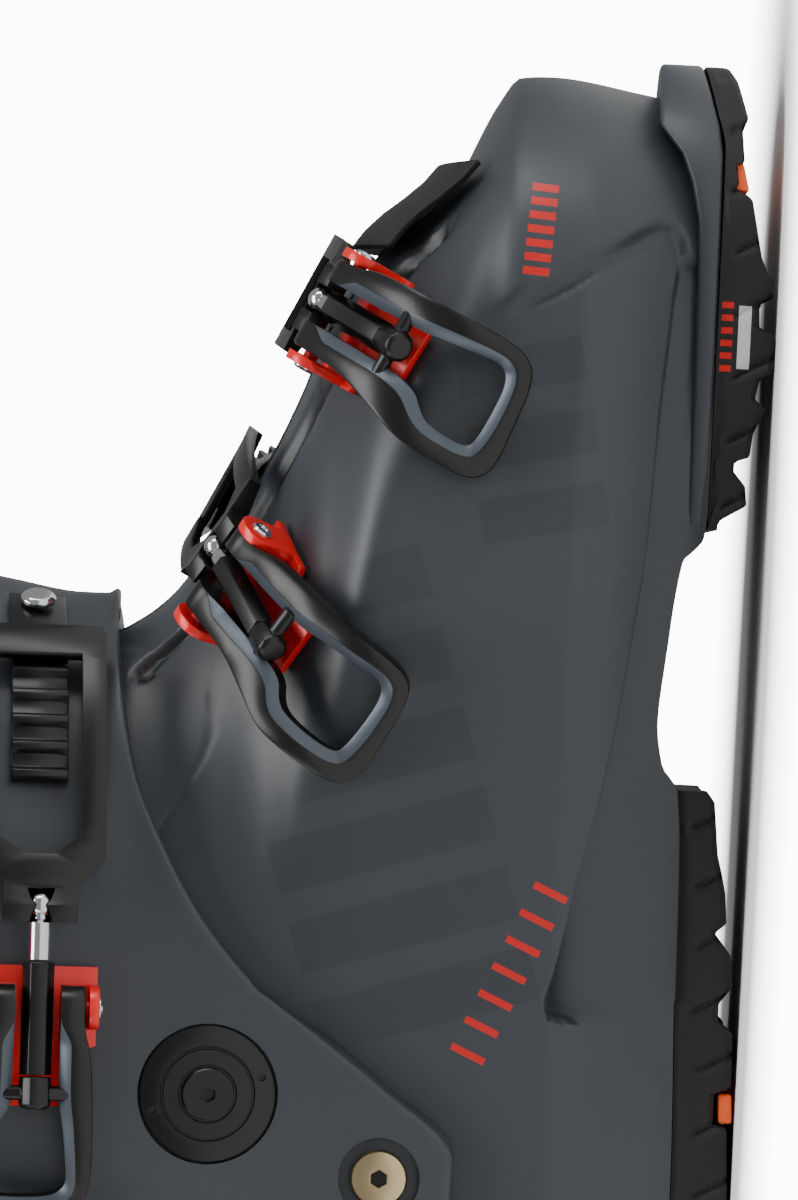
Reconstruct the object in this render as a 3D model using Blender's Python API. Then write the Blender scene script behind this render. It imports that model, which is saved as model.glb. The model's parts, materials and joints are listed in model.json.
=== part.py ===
"""Alpine ski boot, right foot: overlap shell, pivoting cuff, four micro-adjustable buckles.

Lengths are in millimetres and turn into metres where a mesh is stored. While modelling, +X points to the
toe and is zero at the rear end of the sole, +Y points to the inner (medial) side and is zero on the sole's
centre line, and +Z is zero on the ground.
"""

import math

import bmesh
import bpy
import numpy as np

MM = 0.001
GAP = 0.4  # between pieces that rest on each other
SEAT = 0.9  # under pieces that are bent to fit a curved wall

# Sole
SOLE_LENGTH = 306.0
SOLE_HALF_WIDTH = 34.5
TOE_LUG_TOP = 25.8
HEEL_LUG_TOP = 28.3
TOE_LUG_REACH = 7.0  # how far the toe lug stands out in front of the toe box
HEEL_LUG_REACH = 7.5
TOE_INSERT_AT, HEEL_INSERT_AT = 281.5, 90.0  # middle of each orange cross strip
INSERT_LENGTH = 6.0
INSERT_DEPTH = 3.0

# Walls, measured inwards from the outer face of the lower shell
SHELL_WALL = 4.5
CUFF_WALL = 4.5
CUFF_CLEARANCE = 1.3
LINER_CLEARANCE = 2.4
LINER_WALL = 7.0
CUFF_OUT = -(CUFF_CLEARANCE + CUFF_WALL)
CUFF_IN = -CUFF_CLEARANCE
SHELL_IN = SHELL_WALL
LINER_OUT = SHELL_IN + LINER_CLEARANCE
LINER_IN = LINER_OUT + LINER_WALL

# Overall shape
TOE_BOX_HALF_WIDTH = 54.0
HEEL_HALF_WIDTH = 38.5
LEG_SPREAD = 0.0  # extra half width of the leg part
CUFF_FRONT_TOP, CUFF_REAR_TOP = 250.0, 292.0
LINER_TOP_FRONT, LINER_TOP_REAR = 296.0, 322.0
FLEX_DIP = 7.0  # how far the shell sinks under the cuff's front edge, so the cuff can tilt

# Cuff fittings
PIVOT = (72.8, 72.4)
PIVOT_BOLT_RADIUS = 4.0
PIVOT_HEAD_RADIUS = 5.85
PIVOT_RECESS_RADIUS = 8.3
PIVOT_RECESS_DEPTH = 2.2
DISC_AT = (88.4, 108.2)
DISC_RADIUS = 14.0
DISC_THICKNESS = 2.2
BOLT_CLEARANCE = 0.4
STRAP_LOW, STRAP_WIDTH, STRAP_THICKNESS = 236.0, 40.0, 2.4
CAM_THICKNESS = 3.4
TONGUE_RISE = 14.0

# Buckle parts, in the flat: along the pull (s), across it (w) and away from the shell (h)
EAR_HALF_GAP = 10.9
EAR_THICKNESS = 2.0
EAR_RADIUS = 4.4
LEVER_PIVOT_HEIGHT = 9.6
LEVER_BOSS_RADIUS = 4.5
STUD_RADIUS = 1.5
PIN_CLEARANCE = 0.4
TRUNNION_RADIUS = 1.6
TRUNNION_BLOCK = 3.3
BARREL_RADIUS = 3.3
ROD_RADIUS = 1.5
BALL_RADIUS = 2.6
LADDER_HALF_WIDTH = 5.85
LADDER_PITCH = 5.8
LADDER_THICKNESS = 1.4
TOOTH_HEIGHT = 1.7
CLAW_HALF_WIDTH = 13.0
CLAW_THICKNESS = 2.4
CLAW_BAR = 4.5

# hug is 1 where claw and ladder follow the wall's twist, 0 where they lie straight across a ridge
BUCKLES = {
    "toe": {
        "pivot": (245.7, 82.9), "along": (-0.441, -0.898), "on_cuff": False, "lever": 45.0,
        "trunnion": 20.0, "hinge": -10.0, "claw_end": -43.0, "ladder": (-36.0, -71.0),
        "hug": 0.0,
    },
    "instep": {
        "pivot": (191.0, 102.5), "along": (-0.56, -0.8285), "on_cuff": False, "lever": 46.0,
        "trunnion": 20.0, "hinge": -10.0, "claw_end": -46.0, "ladder": (-39.0, -74.0),
        "hug": 1.0,
    },
    "ankle": {
        "pivot": (105.0, 144.6), "along": (-0.9998, -0.02), "on_cuff": True, "lever": 43.0,
        "trunnion": 17.5, "hinge": -20.5, "claw_end": -78.0, "ladder": (-45.0, -96.0),
        "hug": 1.0,
    },
    "shin": {
        "pivot": (117.0, 195.0), "along": (-0.9988, 0.05), "on_cuff": True, "lever": 43.0,
        "trunnion": 17.5, "hinge": -20.5, "claw_end": -78.0, "ladder": (-45.0, -95.0),
        "hug": 1.0,
    },
}

# colour, roughness, metallic
FINISHES = {
    "shell": ((0.055, 0.060, 0.068), 0.42, 0.0),
    "cuff": ((0.058, 0.064, 0.073), 0.40, 0.0),
    "rubber": ((0.012, 0.011, 0.011), 0.75, 0.0),
    "orange": ((0.90, 0.10, 0.01), 0.50, 0.0),
    "black": ((0.020, 0.019, 0.019), 0.35, 0.0),
    "red": ((0.75, 0.012, 0.008), 0.38, 0.0),
    "chrome": ((0.75, 0.75, 0.76), 0.12, 1.0),
    "gold": ((0.62, 0.46, 0.24), 0.25, 1.0),
    "liner": ((0.025, 0.025, 0.027), 0.85, 0.0),
    "webbing": ((0.018, 0.018, 0.020), 0.9, 0.0),
    "board": ((0.30, 0.31, 0.33), 0.6, 0.0),
}


def smooth(t):
    t = np.clip(t, 0.0, 1.0)
    return t * t * (3.0 - 2.0 * t)


class Curve:
    """A smooth single-valued curve through a few points, level beyond its ends."""

    def __init__(self, points):
        self.x, self.y = np.array(points, float).T
        step = np.diff(self.x)
        rise = np.diff(self.y) / step
        slope = np.zeros(len(self.x))
        slope[0], slope[-1] = rise[0], rise[-1]
        same = rise[:-1] * rise[1:] > 0
        both = rise[:-1] + rise[1:]
        slope[1:-1][same] = (2 * rise[:-1] * rise[1:])[same] / both[same]
        self.step, self.slope = step, slope

    def __call__(self, at):
        at = np.clip(at, self.x[0], self.x[-1])
        i = np.clip(np.searchsorted(self.x, at, side="right") - 1, 0, len(self.step) - 1)
        h = self.step[i]
        t = (at - self.x[i]) / h
        a = (1 + 2 * t) * (1 - t) ** 2 * self.y[i] + t * (1 - t) ** 2 * h * self.slope[i]
        b = t * t * (3 - 2 * t) * self.y[i + 1] + t * t * (t - 1) * h * self.slope[i + 1]
        return a + b


TOE_END = SOLE_LENGTH - TOE_LUG_REACH

# (x, z) of the front outline: toe box, instep, then shin
DORSUM = [
    (TOE_END - 3.0, 12.0), (TOE_END, 29.0), (TOE_END + 2.6, 48.0), (TOE_END + 2.2, 55.0),
    (TOE_END - 2.5, 59.8), (TOE_END - 20.5, 71.0), (266.0, 84.3), (251.5, 91.7), (237.0, 95.6),
    (209.7, 108.0),
]
SHIN = [(197.0, 116.5), (189.6, 122.0), (184.5, 128.0), (181.5, 134.0), (181.4, 141.0), (183.4, 156.0),
        (191.5, 200.0), (200.0, 245.0), (213.0, 330.0)]
SUNK_SHIN = [(197.5, 114.2), (190.0, 118.2), (184.5, 121.6), (180.5, 125.0), (178.0, 130.0)]
HEEL = [(HEEL_LUG_REACH, 12.0), (HEEL_LUG_REACH, 35.0), (9.0, 48.0), (13.5, 62.0), (19.0, 78.0),
        (26.0, 100.0), (41.0, 150.0), (59.0, 220.0), (80.0, 330.0)]

lateral_wall = Curve([
    (0, HEEL_HALF_WIDTH - 1.5), (35, HEEL_HALF_WIDTH), (75, HEEL_HALF_WIDTH), (105, HEEL_HALF_WIDTH + 2),
    (135, 46), (165, 53), (192, TOE_BOX_HALF_WIDTH + 4), (220, TOE_BOX_HALF_WIDTH + 3),
    (250, TOE_BOX_HALF_WIDTH), (310, TOE_BOX_HALF_WIDTH - 8),
])
medial_wall = Curve([
    (0, HEEL_HALF_WIDTH - 1.5), (35, HEEL_HALF_WIDTH), (75, HEEL_HALF_WIDTH), (105, HEEL_HALF_WIDTH),
    (135, 40), (165, 45), (192, TOE_BOX_HALF_WIDTH - 3), (220, TOE_BOX_HALF_WIDTH - 1),
    (250, TOE_BOX_HALF_WIDTH - 2), (310, TOE_BOX_HALF_WIDTH - 8),
])
sole_half_width = Curve([
    (0, SOLE_HALF_WIDTH), (60, SOLE_HALF_WIDTH), (110, SOLE_HALF_WIDTH - 3), (165, SOLE_HALF_WIDTH - 1),
    (215, SOLE_HALF_WIDTH + 4), (250, SOLE_HALF_WIDTH + 2), (310, SOLE_HALF_WIDTH),
])
leg_half_width = Curve([
    (70, 39 + LEG_SPREAD), (110, 41 + LEG_SPREAD), (150, 44.5 + LEG_SPREAD), (200, 48.5 + LEG_SPREAD),
    (250, 52.5 + LEG_SPREAD), (330, 57 + LEG_SPREAD),
])
front_rounding = Curve([
    (12, 48), (55, 50), (70, 52), (80, 75), (90, 108), (100, 106), (110, 90), (120, 78), (134, 64),
    (160, 62), (330, 72),
])
rear_rounding = Curve([(12, 34), (60, 35), (110, 44), (200, 52), (330, 56)])
centre_line = Curve([(0, 0), (120, 0), (200, 1.5), (310, 4.5)])
shell_underside = Curve([
    (0, HEEL_LUG_TOP + 0.5), (20, HEEL_LUG_TOP + 0.5), (40, 17.8), (54, 15.0), (112, 14.6), (142, 15.4),
    (155, 16.8), (160, 19.5), (169, 21.0), (182, 20.0), (202, 17.9), (214, 17.0), (235, 17.2),
    (262, 17.8), (274, 19.6), (280, 22.0), (286, TOE_LUG_TOP + 0.5), (310, TOE_LUG_TOP + 0.5),
])


class Skin:
    """The outer face of the boot, and every face that lies at an even depth under or over it."""

    def __init__(self, front, rear, dip):
        self.lines = {"front": Curve([(z, x) for x, z in front]), "rear": Curve([(z, x) for x, z in rear])}
        self.dip = dip
        self.known = {}

    def line(self, which, inset):
        """The front or rear outline, moved inwards along its normal, as heights and x values."""
        key = which, inset
        if key not in self.known:
            curve = self.lines[which]
            z = np.linspace(curve.x[0], curve.x[-1], 900)
            x = curve(z)
            dx, dz = np.gradient(x), np.gradient(z)
            size = np.hypot(dx, dz)
            away = 1.0 if which == "front" else -1.0
            moved_x = x - inset * away * dz / size
            moved_z = z + inset * away * dx / size
            keep = [0]
            for i in range(1, len(z)):
                if moved_z[i] > moved_z[keep[-1]] + 1e-6:
                    keep.append(i)
            self.known[key] = moved_z[keep], moved_x[keep]
        return self.known[key]

    def front(self, z, inset):
        heights, x = self.line("front", inset)
        return np.interp(z, heights, x)

    def rear(self, z, inset):
        heights, x = self.line("rear", inset)
        return np.interp(z, heights, x)

    def half_width(self, x, z, side, inset):
        wall = np.where(np.asarray(side) < 0, lateral_wall(x), medial_wall(x))
        low = sole_half_width(x)
        foot = low + (wall - low) * smooth((z - 13.0) / 27.0)
        leg = smooth((z - 78.0) / 52.0)
        width = foot * (1 - leg) + leg_half_width(z) * leg - inset
        width = width - self.dip * smooth((z - 101.0) / 14.0) * smooth((x - 105.0) / 60.0)
        ahead = np.clip((self.front(z, inset) - x) / front_rounding(z), 0.0, 1.0)
        behind = np.clip((x - self.rear(z, inset)) / rear_rounding(z), 0.0, 1.0)
        power = 2.35 - 0.35 * smooth((z - 60.0) / 30.0)
        nose = (1 - (1 - ahead) ** power) ** (1 / power)
        heel = np.sqrt(1 - (1 - behind) ** 2)
        return np.maximum(width, 0.0) * nose * heel

    def spot(self, x, z, side, inset):
        """The point over (x, z) in side view: side is -1 on the outer side of the foot, 1 on the inner."""
        y = centre_line(x) + side * self.half_width(x, z, side, inset)
        return np.array([x, float(y), z], float)

    def around(self, theta, height, inset, lift=None):
        """The point at an angle round the boot: 0 at the heel, -90 degrees outside, 180 at the front."""
        share = 0.5 * (1 - math.cos(theta))
        side = -1.0 if math.sin(theta) < 0 else 1.0
        z = height
        for _ in range(4 if lift else 1):
            rear = self.rear(z, inset)
            x = rear + (self.front(z, inset) - rear) * share
            if lift:
                z = lift(x, height)
        return self.spot(float(x), float(z), side, inset)

    def normal(self, x, z, side, inset):
        step = 0.5
        du = self.spot(x + step, z, side, inset) - self.spot(x - step, z, side, inset)
        dv = self.spot(x, z + step, side, inset) - self.spot(x, z - step, side, inset)
        n = np.cross(du, dv)
        n *= math.copysign(1.0, n[1] * side)
        return n / np.linalg.norm(n)


LEG_SKIN = Skin(DORSUM + SHIN, HEEL, 0.0)
SHELL_SKIN = Skin(DORSUM + SUNK_SHIN, HEEL, FLEX_DIP)

made = {}
materials = {}


def material(name):
    if name not in materials:
        colour, roughness, metallic = FINISHES[name]
        new = bpy.data.materials.new(name)
        new.use_nodes = True
        shader = new.node_tree.nodes["Principled BSDF"]
        shader.inputs["Base Color"].default_value = (*colour, 1.0)
        shader.inputs["Roughness"].default_value = roughness
        shader.inputs["Metallic"].default_value = metallic
        new.diffuse_color = (*colour, 1.0)
        materials[name] = new
    return materials[name]


def store(name, points, faces, finish, origin=(0.0, 0.0, 0.0)):
    """Makes the object NAME from points in millimetres; origin is where its own origin goes."""
    points = (np.array(points, float) - np.array(origin, float)) * MM
    mesh = bpy.data.meshes.new(name)
    mesh.from_pydata([tuple(p) for p in points], [], faces)
    work = bmesh.new()
    work.from_mesh(mesh)
    bmesh.ops.recalc_face_normals(work, faces=work.faces)
    work.to_mesh(mesh)
    work.free()
    mesh.materials.append(material(finish))
    mesh.shade_smooth()
    mesh.set_sharp_from_angle(angle=math.radians(35))
    part = bpy.data.objects.new(name, mesh)
    part.location = [c * MM for c in origin]
    bpy.context.collection.objects.link(part)
    made[name] = part
    return part


def cut_or_join(kind, first, second):
    """Boolean of two flat meshes, each given as points and faces; gives points and faces."""
    pair = []
    for points, faces in (first, second):
        mesh = bpy.data.meshes.new("flat")
        mesh.from_pydata([tuple(p) for p in points], [], faces)
        work = bmesh.new()
        work.from_mesh(mesh)
        bmesh.ops.recalc_face_normals(work, faces=work.faces)
        work.to_mesh(mesh)
        work.free()
        thing = bpy.data.objects.new("flat", mesh)
        bpy.context.collection.objects.link(thing)
        pair.append(thing)
    step = pair[0].modifiers.new("step", "BOOLEAN")
    step.operation = kind
    step.solver = "EXACT"
    step.object = pair[1]
    bpy.context.view_layer.update()
    result = bpy.data.meshes.new_from_object(pair[0].evaluated_get(bpy.context.evaluated_depsgraph_get()))
    points = [tuple(v.co) for v in result.vertices]
    faces = [tuple(p.vertices) for p in result.polygons]
    for thing in pair:
        bpy.data.objects.remove(thing)
    return points, faces


def join(*shapes):
    whole = shapes[0]
    for shape in shapes[1:]:
        whole = cut_or_join("UNION", whole, shape)
    return whole


def cut(shape, *tools):
    for tool in tools:
        shape = cut_or_join("DIFFERENCE", shape, tool)
    return shape


def prism(outline, low, high, axis):
    """A straight block over a flat outline. axis says which of s, w, h the outline is swept along."""
    count = len(outline)
    points = []
    for level in (low, high):
        for a, b in outline:
            points.append({"w": (a, level, b), "h": (a, b, level), "s": (level, a, b)}[axis])
    faces = [tuple(range(count))[::-1], tuple(range(count, 2 * count))]
    for i in range(count):
        j = (i + 1) % count
        faces.append((i, j, count + j, count + i))
    return points, faces


def circle(centre, radius, count, turn=0.0):
    steps = [turn + 2 * math.pi * i / count for i in range(count)]
    return [(centre[0] + radius * math.cos(a), centre[1] + radius * math.sin(a)) for a in steps]


def block(s, w, h):
    return prism([(s[0], w[0]), (s[1], w[0]), (s[1], w[1]), (s[0], w[1])], h[0], h[1], "h")


def sliced(shape, step):
    """Cuts a flat shape across its length every few millimetres, so it can bend."""
    work = bmesh.new()
    corners = [work.verts.new(p) for p in shape[0]]
    for face in shape[1]:
        work.faces.new([corners[i] for i in face])
    lengths = [p[0] for p in shape[0]]
    count = int((max(lengths) - min(lengths)) / step)
    for i in range(1, count + 1):
        at = min(lengths) + (max(lengths) - min(lengths)) * i / (count + 1)
        everything = work.verts[:] + work.edges[:] + work.faces[:]
        bmesh.ops.bisect_plane(work, geom=everything, dist=1e-4, plane_co=(at, 0, 0), plane_no=(1, 0, 0))
    bmesh.ops.remove_doubles(work, verts=work.verts[:], dist=1e-3)
    bmesh.ops.triangulate(work, faces=[f for f in work.faces if len(f.verts) > 4])
    points = [tuple(v.co) for v in work.verts]
    order = {v: i for i, v in enumerate(work.verts)}
    faces = [tuple(order[v] for v in f.verts) for f in work.faces]
    work.free()
    return points, faces


def turned(profile, count):
    """A round piece along its own z axis: profile is (radius, z) from one end to the other."""
    points = [(0.0, 0.0, profile[0][1]), (0.0, 0.0, profile[-1][1])]
    for radius, z in profile:
        for i in range(count):
            a = 2 * math.pi * i / count
            points.append((radius * math.cos(a), radius * math.sin(a), z))
    faces = []
    for i in range(count):
        j = (i + 1) % count
        faces.append((0, 2 + j, 2 + i))
        last = 2 + (len(profile) - 1) * count
        faces.append((1, last + i, last + j))
        for row in range(len(profile) - 1):
            low, high = 2 + row * count, 2 + (row + 1) * count
            faces.append((low + i, low + j, high + j, high + i))
    return points, faces


def tube(outer, inner, low, high, count):
    """A straight sleeve along its own z axis."""
    points = []
    for radius, z in ((outer, low), (outer, high), (inner, high), (inner, low)):
        points += [(x, y, z) for x, y in circle((0, 0), radius, count)]
    faces = []
    for row in range(4):
        nxt = (row + 1) % 4
        for i in range(count):
            j = (i + 1) % count
            faces.append((row * count + i, row * count + j, nxt * count + j, nxt * count + i))
    return points, faces


def pointing(direction, across=(0.0, 0.0, 1.0)):
    """A rotation whose z axis points along the direction."""
    z = np.array(direction, float)
    z /= np.linalg.norm(z)
    x = np.array(across, float)
    x -= z * x.dot(z)
    if np.linalg.norm(x) < 1e-6:
        x = np.cross(z, (1.0, 0.0, 0.0))
    x /= np.linalg.norm(x)
    return np.stack([x, np.cross(z, x), z], axis=1)


def placed(shape, origin, turn):
    return [tuple(np.array(origin) + turn @ np.array(p, float)) for p in shape[0]], shape[1]


# Shells ------------------------------------------------------------------------------------------


def grid_faces(rows, columns, start, closed):
    faces = []
    for r in range(rows - 1):
        for c in range(columns if closed else columns - 1):
            d = (c + 1) % columns
            a, b = start + r * columns, start + (r + 1) * columns
            faces.append((a + c, a + d, b + d, b + c))
    return faces


def wall_panel(skin, outer, inner, span, low, high, rows, columns, closed=False):
    """A curved wall between two depths: span is its range of angles, low and high give its edges."""
    thetas = [math.radians(span[0] + (span[1] - span[0]) * c / (columns - (0 if closed else 1)))
              for c in range(columns)]
    points = []
    for inset in (outer, inner):
        for r in range(rows):
            for theta in thetas:
                bottom, top = low(theta), high(theta)
                points.append(skin.around(theta, bottom + (top - bottom) * r / (rows - 1), inset))
    size = rows * columns
    faces = grid_faces(rows, columns, 0, closed) + grid_faces(rows, columns, size, closed)
    for c in range(columns if closed else columns - 1):
        d = (c + 1) % columns
        faces.append((c, d, size + d, size + c))
        e, f = c + (rows - 1) * columns, d + (rows - 1) * columns
        faces.append((e, f, size + f, size + e))
    if not closed:
        for r in range(rows - 1):
            for edge in (0, columns - 1):
                a, b = r * columns + edge, (r + 1) * columns + edge
                faces.append((a, b, size + b, size + a))
    return points, faces


def vessel(skin, outer, inner, outer_levels, inner_levels, lift_out, lift_in, half_count):
    """A tub open at the top: loops go up the outside, over the rim and down the inside."""
    thetas = [math.pi - math.pi * k / half_count for k in range(2 * half_count)]
    count = len(thetas)
    points = []
    for level in outer_levels:
        points += [skin.around(theta, level, outer, lift_out) for theta in thetas]
    for level in inner_levels:
        points += [skin.around(theta, level, inner, lift_in) for theta in thetas]
    rows = len(outer_levels) + len(inner_levels)
    faces = grid_faces(rows, count, 0, True)
    for start in (0, (rows - 1) * count):
        faces.append((start, start + 1, start + count - 1))
        for k in range(1, half_count - 1):
            faces.append((start + k, start + k + 1, start + count - k - 1, start + count - k))
        faces.append((start + half_count - 1, start + half_count, start + half_count + 1))
    return points, faces


RIM_AT = [20, 75, 110, 150, 181]
RIM_HEIGHTS = [91.5, 94.5, 104.5, 112, 124.5]


def rim_height(x):
    """The rim of the lower shell, low at the heel and highest on the instep."""
    return np.interp(x, RIM_AT, RIM_HEIGHTS)


SQUEEZE = 48.0  # levels below this height follow the shell's underside


def lower_shell():
    heights = [14, 18, 25, 34, 44, 54, 58.5, 65, 72, 79, 85.5, 90, 93, 95.5, 101, 108, 116, 124.5]
    first, last = heights[0], heights[-1]

    def lift(floor):
        def at(x, height):
            share = max(0.0, (SQUEEZE - height) / (SQUEEZE - first))
            z = height + (floor(x) - first) * share
            over = max(0.0, (height - 60.0) / (last - 60.0))
            return z + (rim_height(x) - last) * over
        return at

    def inner_floor(x):
        return shell_underside(x) + SHELL_WALL

    inner_heights = [h for h in heights[2:] if h not in (58.5, 72, 93)][::-1]
    inner_heights.append(first)
    shape = vessel(SHELL_SKIN, 0.0, SHELL_IN, heights, inner_heights, lift(shell_underside),
                   lift(inner_floor), 18)
    for side in (-1, 1):
        middle = LEG_SKIN.spot(*PIVOT, side, 0.0)
        wide = PIVOT_BOLT_RADIUS + BOLT_CLEARANCE
        hole = turned([(wide, -14.0), (wide, 14.0)], 16)
        shape = cut(shape, placed(hole, middle, pointing((0, 1, 0))))
    store("lower_shell", *shape, "shell")


cuff_edge = Curve([
    (0, 58), (40, 57.5), (60, 58.4), (69.5, 57.6), (79.4, 57.8), (89, 69), (99.6, 83.8), (112, 99.8),
    (125.8, 111.7), (141.6, 120.7), (155.6, 126.6), (180, 131.5), (200, 134),
])


def cuff_low(theta, inset=CUFF_OUT):
    """The height at which the cuff's lower edge crosses an angle."""
    z = 120.0
    for _ in range(60):
        rear = LEG_SKIN.rear(z, inset)
        x = rear + (LEG_SKIN.front(z, inset) - rear) * 0.5 * (1 - math.cos(theta))
        z = 0.6 * z + 0.4 * float(cuff_edge(x))
    return z


def cuff_high(theta):
    share = 0.5 * (1 - math.cos(theta))
    return CUFF_REAR_TOP + (CUFF_FRONT_TOP - CUFF_REAR_TOP) * float(smooth(share))


def cuff():
    shape = wall_panel(LEG_SKIN, CUFF_OUT, CUFF_IN, (-177.5, 177.5), cuff_low, cuff_high, 9, 37)
    for side in (-1, 1):
        for (x, z), wide, depth, through in (
            (PIVOT, PIVOT_RECESS_RADIUS, PIVOT_RECESS_DEPTH, PIVOT_BOLT_RADIUS + BOLT_CLEARANCE),
            (DISC_AT, DISC_RADIUS + BOLT_CLEARANCE, DISC_THICKNESS + GAP, 0.0),
        ):
            face = LEG_SKIN.spot(x, z, side, CUFF_OUT)
            out = LEG_SKIN.normal(x, z, side, CUFF_OUT) if not through else np.array([0, side, 0])
            shape = cut(shape, placed(turned([(wide, -depth), (wide, 12.0)], 24), face, pointing(out)))
            if through:
                bore = turned([(through, -16.0), (through, 16.0)], 16)
                shape = cut(shape, placed(bore, face, pointing(out)))
    store("cuff", *shape, "cuff")


def cuff_fittings():
    for side, where in ((-1, "lateral"), (1, "medial")):
        face = LEG_SKIN.spot(*PIVOT, side, CUFF_OUT)
        inside = LEG_SKIN.spot(*PIVOT, side, SHELL_IN)
        depth = abs(face[1] - inside[1])
        head = [(PIVOT_HEAD_RADIUS - 0.8, 1.2), (PIVOT_HEAD_RADIUS, 0.6),
                (PIVOT_HEAD_RADIUS, GAP - PIVOT_RECESS_DEPTH),
                (PIVOT_BOLT_RADIUS, GAP - PIVOT_RECESS_DEPTH), (PIVOT_BOLT_RADIUS, -depth + GAP)]
        store(f"{where}_pivot_bolt", *placed(turned(head, 20), face, pointing((0, side, 0))), "gold",
              origin=face)
        middle = LEG_SKIN.spot(*DISC_AT, side, CUFF_OUT)
        out = LEG_SKIN.normal(*DISC_AT, side, CUFF_OUT)
        disc = [(DISC_RADIUS - 1.0, 0.9), (DISC_RADIUS, 0.0), (DISC_RADIUS, -DISC_THICKNESS)]
        store(f"{where}_cuff_disc", *placed(turned(disc, 28), middle, pointing(out)), "black", origin=middle)


def plate(xs, half_width, top, bottom):
    """A flat piece made of cross sections along x; half_width, top and bottom are functions of x."""
    points = []
    for x in xs:
        wide = half_width(x)
        for share, z in ((-1.0, top(x)), (1.0, top(x)), (1.0, bottom(x)), (-1.0, bottom(x))):
            points.append((x, share * wide, z))
    faces = [(0, 1, 2, 3)]
    for i in range(len(xs) - 1):
        a, b = 4 * i, 4 * (i + 1)
        faces += [(a + k, a + (k + 1) % 4, b + (k + 1) % 4, b + k) for k in range(4)]
    last = 4 * (len(xs) - 1)
    faces.append((last + 3, last + 2, last + 1, last))
    return points, faces


def lug_half_width(x, inset=0.0):
    """Plan of the standard sole: parallel at the ends, with rounded tips."""
    wide = min(float(sole_half_width(x)), SOLE_HALF_WIDTH + 3.0) - inset
    ahead = min(1.0, (SOLE_LENGTH - inset - x) / 34.0)
    behind = min(1.0, (x - inset) / 22.0)
    return wide * math.sqrt(max(1e-4, 1 - (1 - ahead) ** 2)) * math.sqrt(max(1e-4, 1 - (1 - behind) ** 2))


rubber_top = Curve([
    (0, 12.4), (72, 12.4), (112, 13.5), (142, 14.4), (155, 15.7), (200, 12.0), (287, 12.2), (296, 14.2),
    (306, 16.6),
])
tread = Curve([
    (0, 0.0), (72, 0.0), (100, 1.0), (121, 2.3), (142, 6.2), (155, 9.0), (208, 9.0), (214, 4.3), (222, 1.2),
    (228, 0.0), (250, 0.0), (257, 1.0), (270, 4.4), (284, 8.0), (305, 11.5),
])
lug_top_front = Curve([(205, 16.4), (235, 16.4), (270, 17.0), (280, 18.8), (286, 21.0), (292, TOE_LUG_TOP),
                       (310, TOE_LUG_TOP)])
lug_top_rear = Curve([(0, HEEL_LUG_TOP), (12, HEEL_LUG_TOP), (30, 16.4), (44, 14.2), (60, 14.2)])


def soles():
    front = [208.7, 235.0, 262.0, 272.0, 280.0, 286.0, 292.0, 296.0, 299.5, 302.3, 304.4, 305.7]
    store("toe_lug_plate", *plate(front, lug_half_width, lug_top_front, lambda x: rubber_top(x) + GAP),
          "shell")
    rear = [0.25, 1.4, 3.6, 7.0, 12.0, 17.0, 23.0, 30.0, 44.0]
    store("heel_lug_plate", *plate(rear, lug_half_width, lug_top_rear, lambda x: rubber_top(x) + GAP),
          "shell")

    def narrow(x):
        return lug_half_width(x, 1.0)

    for name, insert, xs in (
        ("toe_sole", TOE_INSERT_AT, [208.7, 214, 222, 228, 239, 250, 257, 270, 290, 296, 300, 303, 304.6]),
        ("heel_sole", HEEL_INSERT_AT, [1.2, 2.6, 5.5, 10, 16, 22, 50, 72, 105, 121, 142, 155]),
    ):
        for step in (-1, 1):
            edge = insert + step * (INSERT_LENGTH / 2 + GAP)
            xs += [edge - 0.05, edge + 0.05]
        bottom = {x: float(tread(x)) for x in xs}
        lifted = [x for x in xs if abs(x - insert) < INSERT_LENGTH / 2 + GAP]
        for x in lifted:
            bottom[x] += INSERT_DEPTH + GAP
        store(name, *plate(sorted(xs), narrow, rubber_top, bottom.get), "rubber")
        ends_of = (insert - INSERT_LENGTH / 2, insert + INSERT_LENGTH / 2)
        strip = plate(list(ends_of), narrow, lambda x: tread(x) + INSERT_DEPTH, lambda x: tread(x) + 0.2)
        store(name.replace("sole", "tread_insert"), *strip, "orange")


def boot_board():
    def wide(x):
        rear, front = SHELL_SKIN.rear(26.0, SHELL_IN), SHELL_SKIN.front(30.0, SHELL_IN)
        x = min(max(x, rear + 0.3), front - 0.3)
        return min(float(SHELL_SKIN.half_width(x, 30.0, s, SHELL_IN + 2.5)) for s in (-1, 1))

    def bottom(x):
        return max(float(shell_underside(x)), float(shell_underside(x - 8)), float(shell_underside(x + 8))) \
            + SHELL_WALL + 2.2

    def top(x):
        return 37.0 - 6.0 * float(smooth((x - 90) / 110))

    xs = [34, 40, 50, 70, 95, 125, 155, 185, 215, 240, 255, 264, 270]
    store("boot_board", *plate(xs, lambda x: wide(x) - 5.0, top, bottom), "board")


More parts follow.
